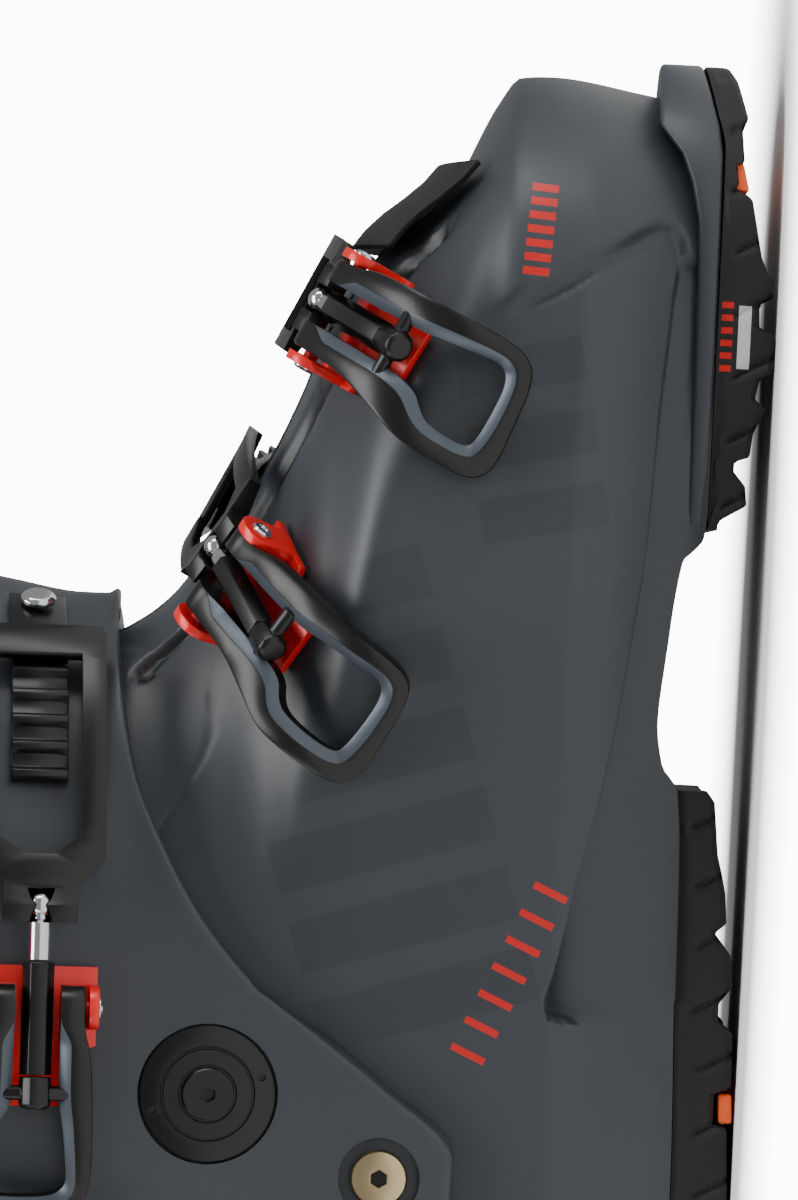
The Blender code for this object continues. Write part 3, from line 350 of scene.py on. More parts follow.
def shaderOf(material):
    return next(n for n in material.node_tree.nodes if n.type == "BSDF_PRINCIPLED")


def mathNode(tree, operation, a, b=0.0, c=0.0):
    return addNode(tree, "ShaderNodeMath", {0: a, 1: b, 2: c}, operation=operation).outputs[0]


# noise whose features are about `grain` millimetres wide
def noiseNode(tree, place, grain, detail=3.0):
    return addNode(tree, "ShaderNodeTexNoise", {"Vector": place, "Scale": 1.0 / (grain * mm),
                                                "Detail": detail}).outputs[0]


def mixColour(tree, factor, a, b):
    node = addNode(tree, "ShaderNodeMix", {0: factor}, data_type="RGBA")
    for socket, value in ((node.inputs[6], a), (node.inputs[7], b)):
        if isinstance(value, bpy.types.NodeSocket):
            tree.links.new(value, socket)
        else:
            socket.default_value = value
    return node.outputs[2]


# a satin surface with a fine grain and a slow change of roughness
def surface(name, colour, roughness, metallic=0.0, grain=0.6, bump=0.02, mottle=0.06, coat=0.0,
            variation=0.05, specular=0.5):
    material, tree, shader, place = newMaterial(name)
    fine = noiseNode(tree, place, grain)
    slow = noiseNode(tree, place, 45.0, 2.0)
    base = hexColour(colour)
    dark = tuple(c * (1 - mottle) for c in base[:3]) + (1.0,)
    light = tuple(min(1.0, c * (1 + mottle)) for c in base[:3]) + (1.0,)
    tree.links.new(mixColour(tree, slow, dark, light), shader.inputs["Base Color"])
    rough = mathNode(tree, "MULTIPLY_ADD", fine, variation, roughness - variation * 0.5)
    tree.links.new(rough, shader.inputs["Roughness"])
    shader.inputs["Metallic"].default_value = metallic
    shader.inputs["Coat Weight"].default_value = coat
    shader.inputs["Coat Roughness"].default_value = 0.15
    shader.inputs["Specular IOR Level"].default_value = specular
    relief = addNode(tree, "ShaderNodeBump", {"Height": fine, "Strength": 1.0, "Distance": bump * mm})
    tree.links.new(relief.outputs[0], shader.inputs["Normal"])
    return material


plasticFinish = {
    "shellColour": "#33373c",
    "shellRoughness": 0.42,
    "markColour": "#2d3136",
    "redPrint": "#c40a06",
    # near-black painted shade for the groove along the covered flap
    "gapShadeColour": "#060606",
    "grain": 0.55,
}


# 1 on a row of bars in the side view, seen from the outer side; lengths in millimetres
def barsMask(tree, place, centre, angle, length, width, pitch, count):
    split = addNode(tree, "ShaderNodeSeparateXYZ", {0: place}).outputs
    x = mathNode(tree, "SUBTRACT", split[0], (centre[0] + offset[0]) * mm)
    z = mathNode(tree, "SUBTRACT", split[2], (centre[1] + offset[2]) * mm)
    c, s = math.cos(math.radians(angle)), math.sin(math.radians(angle))
    u = mathNode(tree, "ADD", mathNode(tree, "MULTIPLY", x, c), mathNode(tree, "MULTIPLY", z, s))
    v = mathNode(tree, "SUBTRACT", mathNode(tree, "MULTIPLY", z, c), mathNode(tree, "MULTIPLY", x, s))
    inRow = mathNode(tree, "LESS_THAN", mathNode(tree, "ABSOLUTE", u), 0.5 * pitch * count * mm)
    cell = mathNode(tree, "PINGPONG", mathNode(tree, "ADD", u, 0.5 * pitch * (count % 2) * mm),
                    0.5 * pitch * mm)
    onBar = mathNode(tree, "GREATER_THAN", cell, 0.5 * (pitch - width) * mm)
    short = mathNode(tree, "LESS_THAN", mathNode(tree, "ABSOLUTE", v), 0.5 * length * mm)
    outer = mathNode(tree, "LESS_THAN", split[1], offset[1] * mm)
    return mathNode(tree, "MULTIPLY", mathNode(tree, "MULTIPLY", inRow, onBar),
                    mathNode(tree, "MULTIPLY", short, outer))


# prints rows of bars on a finish, each given as (mask settings, colour)
def printed(material, bars):
    tree, shader = material.node_tree, shaderOf(material)
    place = next(n for n in tree.nodes if n.type == "TEX_COORD").outputs["Object"]
    colour = shader.inputs["Base Color"].links[0].from_socket
    for settings, code in bars:
        colour = mixColour(tree, barsMask(tree, place, **settings), colour, hexColour(code))
    tree.links.new(colour, shader.inputs["Base Color"])
    return material


# graphite plastic with painted shade: it turns near black where the mesh's attribute marks the flap's groove
def mouldedPolyurethane(name, bars=()):
    material = printed(surface(name, plasticFinish["shellColour"], plasticFinish["shellRoughness"],
                               grain=plasticFinish["grain"], bump=0.012, mottle=0.05), bars)
    tree, shader = material.node_tree, shaderOf(material)
    colour = shader.inputs["Base Color"].links[0].from_socket
    depth = addNode(tree, "ShaderNodeAttribute", attribute_name="gapShade").outputs["Fac"]
    colour = mixColour(tree, depth, colour, hexColour(plasticFinish["gapShadeColour"]))
    tree.links.new(colour, shader.inputs["Base Color"])
    return material


shellBars = [
    (dict(centre=(150, 78), angle=18, length=46, width=11, pitch=17, count=6),
     plasticFinish["markColour"]),
    (dict(centre=(225, 49), angle=12, length=26, width=9, pitch=15, count=3),
     plasticFinish["markColour"]),
    (dict(centre=(116, 48), angle=-24, length=7.5, width=1.5, pitch=6.2, count=7),
     plasticFinish["redPrint"]),
    (dict(centre=(268, 49.5), angle=-4, length=5.4, width=1.6, pitch=2.9, count=7),
     plasticFinish["redPrint"]),
]

paints = {
    "shell": mouldedPolyurethane("moulded polyurethane shell", shellBars),
    "cuff": mouldedPolyurethane("moulded polyurethane cuff"),
    "rubber": surface("moulded sole rubber", "#1b1a1a", 0.62, grain=0.4, bump=0.05, specular=0.35),
    "orange": surface("orange tread insert", "#f05a14", 0.5, grain=0.5),
    "black": surface("satin black coated aluminium", "#141313", 0.30, 0.35, grain=0.35, bump=0.006,
                     specular=0.6),
    # light grey for the levers' inner bevel, a painted highlight
    "bevel": surface("bevel with painted highlight", "#4c535c", 0.36, 0.4, grain=0.35, bump=0.006),
    "red": surface("red coated aluminium", "#e3120b", 0.34, 0.15, grain=0.35, bump=0.006, coat=0.2),
    "chrome": surface("polished steel", "#d4d6da", 0.13, 1.0, grain=0.5, bump=0.002, variation=0.04),
    "gold": surface("champagne coated steel", "#c8b48c", 0.26, 1.0, grain=0.3, bump=0.003),
    # near black for the disc of painted shade in a bolt's socket
    "socket": surface("painted socket shade", "#050505", 0.6, grain=0.5),
    "board": surface("moulded boot board", "#74777c", 0.6, grain=0.8, bump=0.05),
    "foam": surface("liner foam rubber", "#17171a", 0.8, grain=0.9, bump=0.12, specular=0.3),
}


# plain weave: two crossing sets of threads, `pitch` millimetres apart
def wovenMaterial(name, colour, pitch, roughness=0.85, depth=0.12):
    material, tree, shader, place = newMaterial(name)
    turn = addNode(tree, "ShaderNodeMapping", {"Vector": place, "Scale": (1 / (pitch * mm),) * 3})
    split = addNode(tree, "ShaderNodeSeparateXYZ", {0: turn.outputs[0]}).outputs
    alongX = mathNode(tree, "ADD", split[0], split[1])
    a = mathNode(tree, "SINE", mathNode(tree, "MULTIPLY", alongX, 2 * math.pi))
    b = mathNode(tree, "SINE", mathNode(tree, "MULTIPLY", split[2], 2 * math.pi))
    height = mathNode(tree, "MULTIPLY", a, b)
    fuzz = noiseNode(tree, place, 0.3)
    base = hexColour(colour)
    light = tuple(min(1.0, c * 1.7 + 0.004) for c in base[:3]) + (1.0,)
    share = mathNode(tree, "MULTIPLY_ADD", height, 0.35, mathNode(tree, "MULTIPLY", fuzz, 0.6))
    tree.links.new(mixColour(tree, share, base, light), shader.inputs["Base Color"])
    shader.inputs["Roughness"].default_value = roughness
    shader.inputs["Specular IOR Level"].default_value = 0.25
    shader.inputs["Sheen Weight"].default_value = 0.25
    relief = addNode(tree, "ShaderNodeBump", {"Height": height, "Strength": 0.8, "Distance": depth * mm})
    tree.links.new(relief.outputs[0], shader.inputs["Normal"])
    return material


labelBars = [
    (dict(centre=(248.5, 10.2), angle=0, length=2.4, width=1.3, pitch=2.6, count=6), "#c3160f"),
    (dict(centre=(248.5, 6.6), angle=0, length=2.6, width=13.0, pitch=15.0, count=1), "#c9c9c9"),
]
paints["labelledRubber"] = printed(
    surface("moulded sole rubber with label", "#1b1a1a", 0.62, grain=0.4, bump=0.05, specular=0.35),
    labelBars)
paints["liner"] = wovenMaterial("liner knit", "#1d1e21", 1.6)
paints["webbing"] = wovenMaterial("strap webbing", "#131315", 2.2, depth=0.2)
paints["thread"] = wovenMaterial("stitching thread", "#5a5e66", 0.5)


def painted(obj, *names):
    obj.data.materials.clear()
    for name in names:
        obj.data.materials.append(paints[name])
    return obj


def placed(obj, body, slotName, *nodes):
    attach(obj, body)
    if nodes:
        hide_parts(*nodes)
    return obj


print("materials ready")


shellForm = {
    "columnsPerSide": 350,
    "wall": 4.5,
    "scoopDepth": 5.4,   # how far the side drops in under the crest
    "ledgeOut": 1.2,
    "capStep": 1.7,      # how proud the toe cap stands
    "flapStep": 0.5,     # how deep the covered flap lies
    "roofInset": 3.2,
    "crease": 55.0,      # height of the fold where the side turns into the roof
}
undersideAt = curveThrough([
    (0, 12.6), (72, 12.6), (112, 13.7), (142, 14.6), (155, 15.9), (160, 19.5), (169, 21.0), (182, 20.0),
    (202, 17.4), (207, 12.7), (214, 12.2), (287, 12.4), (296, 14.4), (306, 16.8),
])
crestAt = curveThrough([
    (0, 26.0), (90, 34.0), (106, 39.8), (111, 40.2), (117, 38.4), (135.5, 35.0), (153, 31.0), (165, 29.0),
    (179, 27.0), (202, 24.3), (235, 22.6), (264, 20.8), (286, 24.5), (310, 26.0),
])
rimAt = curveThrough([(20, 96), (96, 100), (112, 112), (126, 123), (142, 132), (156, 138), (172, 142),
                      (200, 144)])
scoopOutline = [
    (262, 21.0), (235, 22.9), (202, 24.3), (179, 27), (165, 29), (153, 31), (135.5, 35),
    (117, 38.6), (112, 40.2), (109.2, 40.6), (106.8, 39.4), (106, 37), (106.4, 33), (108, 27.5),
    (110, 22), (112, 8), (262, 8),
]
capOutline = [
    (262, 90), (257, 68), (254, 62.5), (252, 59.5), (251.6, 57.5), (252.4, 54.8), (258, 44.6), (264.5, 35),
    (268.4, 28.5), (269.6, 25.2), (269.4, 22.8), (267.5, 21.2), (264, 20.5), (262, 15), (262, 0),
    (330, 0), (330, 90),
]
flapLine = [(268.5, 71.5), (261, 79.2), (249, 85.2), (231.8, 93.2), (219.8, 98.6), (208.8, 103.8),
            (197.6, 109.2), (185.4, 115.0), (173.5, 126)]
panelSeam = [(187.5, 110.9), (166.7, 111.6), (161.5, 111.4), (157, 112.8), (141.4, 121), (128, 128)]


# how far the shell's face stands out at each point, and how much painted shade darkens the flap's groove
def shellRelief(x, z, side):
    scoop = edgeDistance(x, z, scoopOutline)
    crest, low = crestAt(x), undersideAt(x)
    down = np.clip((crest - z) / np.maximum(crest - low, 1.0), 0, 1)
    fade = 0.30 * smooth((266.0 - x) / 12.0) + 0.70 * smooth((255.0 - x) / 120.0)
    profile = -shellForm["scoopDepth"] * fade * (1 - down) ** 1.15 + shellForm["ledgeOut"] * down
    relief = profile * smooth((scoop + 0.3) / 1.5)
    cap = edgeDistance(x, z, capOutline)
    capFade = (1 - 0.75 * smooth((x - 270.0) / 22.0)) * (1 - smooth((z - 51.0) / 9.0))
    relief = relief + shellForm["capStep"] * smooth((cap + 0.5) / 1.9) * capFade
    trench = smooth((z - 24.0) / 5.0) * (1 - smooth((z - 48.0) / 9.0))
    relief = relief - 1.2 * np.exp(-((cap + 1.5) / 1.3) ** 2) * trench
    # roof of the toe box leans in above its crease, hollowed a little
    roof = smooth((x - 240) / 20) * np.clip((z - 54.8) / 16.0, 0, 1)
    relief = relief - shellForm["roofInset"] * roof
    flap = lineDistance(x, z, flapLine)
    lineX, lineZ = np.array(flapLine[::-1]).T
    above = z - np.interp(x, lineX, lineZ)
    covered = (x > 178) & (x < 268.5)
    under = smooth((above * 0.88 + 0.2) / 0.7) * covered * (side < 0)
    groove = np.exp(-(np.maximum(np.abs(flap - 0.6) - 0.7, 0) / 0.5) ** 2) * (side < 0) * (x > 150)
    groove = groove * smooth((above + 1.6) / 0.8)
    relief = relief - shellForm["flapStep"] * under - 2.2 * groove
    seam = lineDistance(x, z, panelSeam)
    relief = relief - 0.35 * np.exp(-(seam / 0.5) ** 2) * (side < 0)
    # lug band: a shallow line round the toe and heel just over the rubber
    band = np.exp(-((z - (low + 4.1)) / 0.45) ** 2) * ((x > 212) | (x < 106))
    relief = relief - 0.35 * band
    # painted shade: the groove along the flap is darkened in the colour
    gapShade = groove * 0.9
    return relief, gapShade


# shares between knots: 0 underside, 1 crest, 2 crease, 3 mid, 4 rim
def shellRows():
    rows = []
    for start, count, power in ((0, 18, -1.7), (1, 30, 1.7), (2, 28, 1.0), (3, 36, 1.0)):
        shares = np.arange(count) / count
        rows += list(start + (shares ** power if power > 0 else 1 - (1 - shares) ** -power))
    return rows + [4.0]


def shellHeight(row):
    def at(x):
        crease = shellForm["crease"]
        knots = [undersideAt(x), crestAt(x), np.full_like(x, crease), 0.5 * (crease + rimAt(x)), rimAt(x)]
        i = min(int(row), 3)
        t = row - i
        return knots[i] * (1 - t) + knots[i + 1] * t
    return at


def buildShell():
    columns = 2 * shellForm["columnsPerSide"]
    theta = np.pi - 2 * np.pi * np.arange(columns) / columns
    rows = shellRows()
    outer = np.stack([around(theta, 60.0, 0.0, shellHeight(r)) for r in rows])
    side = np.where(np.sin(theta) < 0, -1.0, 1.0)[None, :] * np.ones((len(rows), 1))
    normals = gridNormals(outer, True)
    centre = outer.mean(axis=(0, 1))
    if np.sum(normals * (outer - centre)) < 0:
        normals = -normals
    relief, gapShade = shellRelief(outer[..., 0], outer[..., 2], side)
    outer = outer + normals * relief[..., None]
    layers, gapShades = [], []
    # the underside closes towards the middle
    for share in (0.0, 0.35, 0.7, 0.9, 0.975):
        ring = outer[0].copy()
        middle = skin["centreLine"](ring[:, 0])
        ring[:, 1] = middle + (ring[:, 1] - middle) * share
        ring[:, 0] = 150 + (ring[:, 0] - 150) * (0.98 + 0.02 * share)
        layers.append(ring)
        gapShades.append(np.zeros(columns))
    for i in range(len(rows)):
        layers.append(outer[i])
        gapShades.append(gapShade[i])
    wall = shellForm["wall"]
    # rounded rim, then down the inside
    for inset, lift in ((0.5, 0.6), (1.4, 1.0), (3.1, 1.0), (4.0, 0.6), (wall, 0.0), (wall, -4.0),
                        (wall, -12.0), (wall, -28.0)):
        ring = around(theta, 100.0, inset, lambda x, lift=lift: rimAt(x) + lift)
        layers.append(ring)
        gapShades.append(gapShade[-1] * 0)
    grid = np.stack(layers)
    faces = gridFaces(len(layers), columns, True)
    obj = meshObject("lowerShell", grid.reshape(-1, 3), faces, 50)
    return obj, np.concatenate(gapShades), grid


# stores how much painted shade each point of the groove gets, matched by place because doubles were merged
def setGapShade(obj, points, values):
    places = world(points)
    tree = KDTree(len(places))
    for i, p in enumerate(places):
        tree.insert(p, i)
    tree.balance()
    attribute = obj.data.attributes.new("gapShade", "FLOAT", "POINT")
    attribute.data.foreach_set("value", [float(values[tree.find(v.co)[1]]) for v in obj.data.vertices])


lowerShell, gapShadeValues, shellGrid = buildShell()
setGapShade(lowerShell, shellGrid.reshape(-1, 3), gapShadeValues)
painted(lowerShell, "shell")
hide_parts("lower_shell")
print("lower shell", len(lowerShell.data.polygons))


cuffForm = {
    "columns": 520,
    "rows": 130,
    "outer": -5.8,
    "inner": -1.3,
    "edgeRadius": 1.3,
    "overlapLift": 2.2,
    "start": -185.0,
    "end": 176.0,
    "recessRadius": 8.3,
    "recessDepth": 2.2,
    "disc": (88.4, 108.2),
    "discRadius": 14.4,
}
cuffEdge = curveThrough([
    (0, 58), (40, 57.5), (60, 58.4), (69.5, 57.6), (77, 57.4), (81.5, 60.0), (89, 69.5), (99.6, 83.8),
    (112, 99.8), (125.8, 111.7), (141.6, 120.7), (155.6, 126.6), (180, 131.5), (200, 134),
])


def cuffTop(theta):
    return 292.0 + (250.0 - 292.0) * smooth(0.5 * (1 - np.cos(theta)))


# a curved wall with rounded edges; low and high give its lower and upper edge at each angle
def wallObject(name, theta, low, high, outerInset, innerInset, rows, radius=1.0, closed=False, bulge=None,
               smoothAngle=50):
    turn = np.linspace(0, math.pi, 9)
    thickness = abs(innerInset - np.max(outerInset))
    layers = []
    # outside, bottom to top
    for v in np.linspace(0, 1, rows):
        z = low + radius + (high - low - 2 * radius) * v
        layers.append((z, 0.0))
    # over the top edge: quarter, flat, quarter
    for a in turn[1:5]:
        layers.append((high - radius + radius * math.sin(a), radius * (1 - math.cos(a))))
    for a in turn[5:]:
        layers.append((high - radius + radius * math.sin(a), thickness - radius * (1 + math.cos(a))))
    for v in np.linspace(1, 0, max(4, rows // 6)):
        z = low + radius + (high - low - 2 * radius) * v
        layers.append((z, thickness))
    for a in turn[1:5]:
        layers.append((low + radius - radius * math.sin(a), thickness - radius * (1 - math.cos(a))))
    for a in turn[5:-1]:
        layers.append((low + radius - radius * math.sin(a), radius * (1 + math.cos(a))))
    rings = []
    for z, depth in layers:
        inset = outerInset + np.zeros(len(theta)) + depth
        ring = np.empty((len(theta), 3))
        steps = np.round(inset * 5) / 5
        for value in np.unique(steps):
            pick = steps == value
            ring[pick] = around(theta[pick], np.asarray(z)[pick] if np.ndim(z) else z, value)
        # small remainder of the inset along the side direction
        rest = inset - steps
        ring[:, 1] -= np.sign(ring[:, 1]) * rest
        rings.append(ring)
    grid = np.stack(rings)
    if bulge is not None:
        normals = gridNormals(grid, closed)
        grid = grid + normals * bulge(theta, grid)[..., None]
    count = len(rings)
    faces = [tuple(f) for f in gridFaces(count, len(theta), closed)]
    last = (count - 1) * len(theta)
    for k in range(len(theta) if closed else len(theta) - 1):
        d = (k + 1) % len(theta)
        faces.append((last + k, last + d, d, k))
    if not closed:
        faces.append(tuple(r * len(theta) for r in range(count)))
        faces.append(tuple(r * len(theta) + len(theta) - 1 for r in range(count)))
    return meshObject(name, grid.reshape(-1, 3), faces, smoothAngle)


# height at which an edge given by x crosses each angle
def settledEdge(theta, inset, edge):
    z = np.full(theta.shape, 120.0)
    for _ in range(80):
        rear = outlineAt("rear", z, inset)
        x = rear + (outlineAt("front", z, inset) - rear) * 0.5 * (1 - np.cos(theta))
        z = 0.6 * z + 0.4 * edge(x)
    return z


def buildCuff():
    theta = np.radians(np.linspace(cuffForm["start"], cuffForm["end"], cuffForm["columns"]))
    low = settledEdge(theta, cuffForm["outer"], cuffEdge)
    high = cuffTop(theta)
    lift = cuffForm["overlapLift"] * smooth((-160.0 - np.degrees(theta)) / 14.0)
    obj = wallObject("cuffShell", theta, low, high, cuffForm["outer"] - lift, cuffForm["inner"],
                     cuffForm["rows"], cuffForm["edgeRadius"])
    for side in (-1, 1):
        face = spot(*pivotSpot, side, cuffForm["outer"])
        out = np.array([0.0, side, 0.0])
        cutter = turnedObject("cutter", face - out * cuffForm["recessDepth"], out,
                              [(cuffForm["recessRadius"], 0), (cuffForm["recessRadius"] + 0.1, 3.0),
                               (cuffForm["recessRadius"] + 3, 6.0)], 64)
        subtract(obj, cutter)
        face = spot(*cuffForm["disc"], side, cuffForm["outer"])
        out = spotNormal(*cuffForm["disc"], side, cuffForm["outer"])
        cutter = turnedObject("cutter", face - out * 2.6, out,
                              [(cuffForm["discRadius"], 0), (cuffForm["discRadius"], 6.0)], 72)
        subtract(obj, cutter)
    obj.data.set_sharp_from_angle(angle=math.radians(40))
    return obj


cuffShell = buildCuff()
painted(cuffShell, "cuff")
placed(cuffShell, "cuff", "cuff", "cuff")
print("cuff", len(cuffShell.data.polygons))
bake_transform(lowerShell)


hardParts = {
    "bevel": 0.45,
    "smallBevel": 0.25,
    "screwBevel": 0.2,
    "lugBevel": 1.0,
    "plateBevel": 0.6,
    "boltBevel": 0.3,
}
bodyOf = {node: body for body, nodes in frame["record"]["behaviour"]["bodies"].items() for node in nodes}
slotOf = {entry["node"]: entry["material_slot"] for entry in frame["record"]["subparts"]}


# a copy of a plain piece of the frame with softened edges
def polished(node, width, paint=None, segments=2):
    source = frame["nodes"][node]
    obj = linked(node + "Looks", source.data.copy())
    tidyMesh(obj, 40, merge=2e-5)
    dissolve = bmesh.new()
    dissolve.from_mesh(obj.data)
    bmesh.ops.dissolve_limit(dissolve, angle_limit=math.radians(0.6), verts=dissolve.verts,
                             edges=dissolve.edges)
    dissolve.to_mesh(obj.data)
    dissolve.free()
    painted(obj, paint or slotOf[node])
    for face in obj.data.polygons:
        face.material_index = 0
    softened(obj, width, segments)
    placed(obj, bodyOf[node], slotOf[node], node)
    return obj


buckles = ("toe", "instep", "ankle", "shin")
for buckle in buckles:
    for part in ("base", "trunnion", "barrel", "claw", "ladder"):
        width = hardParts["bevel"] if part == "claw" else hardParts["smallBevel"]
        polished(f"{buckle}_buckle_{part}", width, "black" if part == "trunnion" else None)
    polished(f"{buckle}_ladder_screw", hardParts["screwBevel"])
for node in ("toe_lug_plate", "heel_lug_plate"):
    polished(node, hardParts["lugBevel"], segments=3)
for node in ("toe_tread_insert", "heel_tread_insert", "spine_blade", "strap_cam", "boot_board"):
    polished(node, hardParts["plateBevel"])
for node in ("lower_spine_bolt", "upper_spine_bolt", "throat_seal"):
    polished(node, hardParts["boltBevel"])

headForm = {
    "bolt": [(5.6, -2.2), (5.85, -1.9), (5.85, 0.1), (5.45, 0.7), (4.6, 0.95), (0.1, 0.95)],
    "boltSocket": 3.3,
    "disc": [(13.9, -2.2), (14.0, -0.1), (13.6, 0.15), (9.75, 0.35), (9.55, -0.15), (9.25, -0.15), (9.1, 0.5),
             (6.0, 0.6), (5.8, 0.1), (5.5, 0.1), (5.3, 1.2), (5.0, 1.45), (0.1, 1.45)],
    "discSocket": 3.0,
    "spannerHoleAt": 11.7,
    "spannerHole": 0.75,
}


def hexCutter(centre, out, flats, depth):
    across = flats / math.sqrt(3)
    return turnedObject("cutter", np.array(centre) - np.array(out) * depth, out,
                        [(across, 0.0), (across, depth + 6.0)], 6)


for side, where in ((-1, "lateral"), (1, "medial")):
    face = spot(*pivotSpot, side, cuffForm["outer"])
    out = np.array([0.0, side, 0.0])
    base = face - out * 0.6
    bolt = turnedObject(where + "Bolt", base, out, headForm["bolt"], 64, 30)
    subtract(bolt, hexCutter(base, out, headForm["boltSocket"], 0.4))
    painted(bolt, "gold")
    bolt.data.set_sharp_from_angle(angle=math.radians(30))
    placed(bolt, bodyOf[where + "_pivot_bolt"], "gold", where + "_pivot_bolt")
    # painted shade: a thin near-black disc at the bottom of the bolt's hex socket
    socket = turnedObject(where + "Socket", base - out * 0.1, out, [(2.2, 0.0), (2.2, 0.1)], 24)
    placed(painted(socket, "socket"), bodyOf[where + "_pivot_bolt"], "black")
    face = spot(*cuffForm["disc"], side, cuffForm["outer"])
    out = spotNormal(*cuffForm["disc"], side, cuffForm["outer"])
    disc = turnedObject(where + "Disc", face - out * 0.2, out, headForm["disc"], 96, 30)
    subtract(disc, hexCutter(face, out, headForm["discSocket"], 0.8))
    turn = np.cross(out, [1.0, 0, 0.35])
    turn /= np.linalg.norm(turn)
    for k in (-1, 1):
        middle = face + turn * headForm["spannerHoleAt"] * k
        radius = headForm["spannerHole"]
        subtract(disc, turnedObject("cutter", middle - out * 1.2, out, [(radius, 0), (radius, 4)], 20))
    disc.data.set_sharp_from_angle(angle=math.radians(30))
    placed(painted(disc, "black"), "cuff", "black", where + "_cuff_disc")

# chrome ball and sleeve between each claw and its barrel
rodForm = {"ball": 2.6, "neck": 1.7, "sleeve": 2.35}
jointNamed = {joint["name"]: joint for joint in frame["joints"]}
for buckle in buckles:
    hinge = np.array(jointNamed[buckle + "_claw_lift"]["pos_m"]) / mm - offset
    pull = np.array(jointNamed[buckle + "_rod_slide"]["axis"])
    corners = np.array([v.co for v in frame["nodes"][buckle + "_buckle_barrel"].data.vertices])
    start = float(np.min(np.abs((corners / mm - offset - hinge) @ pull)))
    ball = [(rodForm["ball"] * math.sin(a), rodForm["ball"] * -math.cos(a))
            for a in np.linspace(0.06, 2.45, 18)]
    profile = ball + [(rodForm["neck"], 2.9), (rodForm["sleeve"], 3.6), (rodForm["sleeve"], start - 0.5)]
    if start < 4.6:
        profile = ball + [(rodForm["neck"], start - 0.4)]
    rod = turnedObject(buckle + "Rod", hinge, -pull, profile, 32, 40)
    placed(painted(rod, "chrome"), bodyOf[buckle + "_buckle_rod"], "chrome", buckle + "_buckle_rod")

# levers: a forked, bowed plate round a finger window, its inner bevel in light grey as a painted highlight
leverForm = {
    "boss": 4.5,
    "height": 9.6,
    "bevelWidth": 2.3,
    "bevelDrop": 1.3,
    "smoothing": 3,
}
buckleForm = {
    "toe": {"pivot": (245.7, 82.9), "along": (-0.441, -0.898), "inset": 0.0, "far": 45.0, "trunnion": 20.0},
    "instep": {"pivot": (191.0, 102.5), "along": (-0.56, -0.8285), "inset": 0.0, "far": 46.0,
               "trunnion": 20.0},
    "ankle": {"pivot": (105.0, 144.6), "along": (-0.9998, -0.02), "inset": -5.8, "far": 43.0,
              "trunnion": 17.5},
    "shin": {"pivot": (117.0, 195.0), "along": (-0.9988, 0.05), "inset": -5.8, "far": 43.0,
             "trunnion": 17.5},
}


# maps (along, across, height) of a buckle onto the boot, straight across the line of its pull
def buckleFrame(form):
    along = np.array([form["along"][0], 0.0, form["along"][1]])
    along /= np.linalg.norm(along)
    across = np.array([-along[2], 0.0, along[0]])
    inset = form["inset"]
    base = spot(*form["pivot"], -1, inset)
    sides = [spot(form["pivot"][0] + across[0] * w, form["pivot"][1] + across[2] * w, -1, inset)
             for w in (-8.0, 8.0)]
    axis = across + np.array([0.0, (sides[1][1] - sides[0][1]) / 16.0, 0.0])
    axis /= np.linalg.norm(axis)
    inwards = np.cross(along, axis)
    inwards *= math.copysign(1.0, inwards[1])
    angles = np.radians(np.linspace(300.0, 12.0, 220))
    middle = np.array([18.0, abs(base[1]) / inwards[1]])
    rays = np.stack([np.cos(angles), -np.sin(angles)], axis=1)
    near, far = np.zeros(len(angles)), np.full(len(angles), 160.0)
    for _ in range(36):
        half = 0.5 * (near + far)
        flat = middle + rays * half[:, None]
        p = base + flat[:, :1] * along + flat[:, 1:] * inwards
        centre = skin["centreLine"](p[:, 0])
        side = np.where(p[:, 1] < centre, -1, 1)
        inside = np.abs(p[:, 1] - centre) < halfWidth(p[:, 0], p[:, 2], side, inset)
        near, far = np.where(inside, half, near), np.where(inside, far, half)
    flat = middle + rays * near[:, None]
    length = np.concatenate([[0.0], np.cumsum(np.linalg.norm(np.diff(flat, axis=0), axis=1))])
    facing = np.flatnonzero((angles > math.radians(30)) & (angles < math.radians(150)))
    length -= np.interp(0.0, flat[facing, 0], length[facing])

    def flatAt(s):
        return np.stack([np.interp(s, length, flat[:, 0]), np.interp(s, length, flat[:, 1])], -1)

    def place(s, w, h):
        s, w, h = (np.asarray(v, float) for v in (s, w, h))
        run = flatAt(s + 2.5) - flatAt(s - 2.5)
        run /= np.linalg.norm(run, axis=-1, keepdims=True)
        out = np.stack([run[..., 1], -run[..., 0]], -1)
        spotFlat = flatAt(s) + out * h[..., None]
        return base + spotFlat[..., :1] * along + spotFlat[..., 1:] * inwards + w[..., None] * axis

    return place


# open line with its corners cut again and again, so that it turns smooth
def cornersCut(points, times):
    points = np.array(points, float)
    for _ in range(times):
        a, b = points[:-1] * 0.75 + points[1:] * 0.25, points[:-1] * 0.25 + points[1:] * 0.75
        inner = np.stack([a, b], axis=1).reshape(-1, points.shape[1])
        points = np.concatenate([points[:1], inner, points[-1:]])
    return points


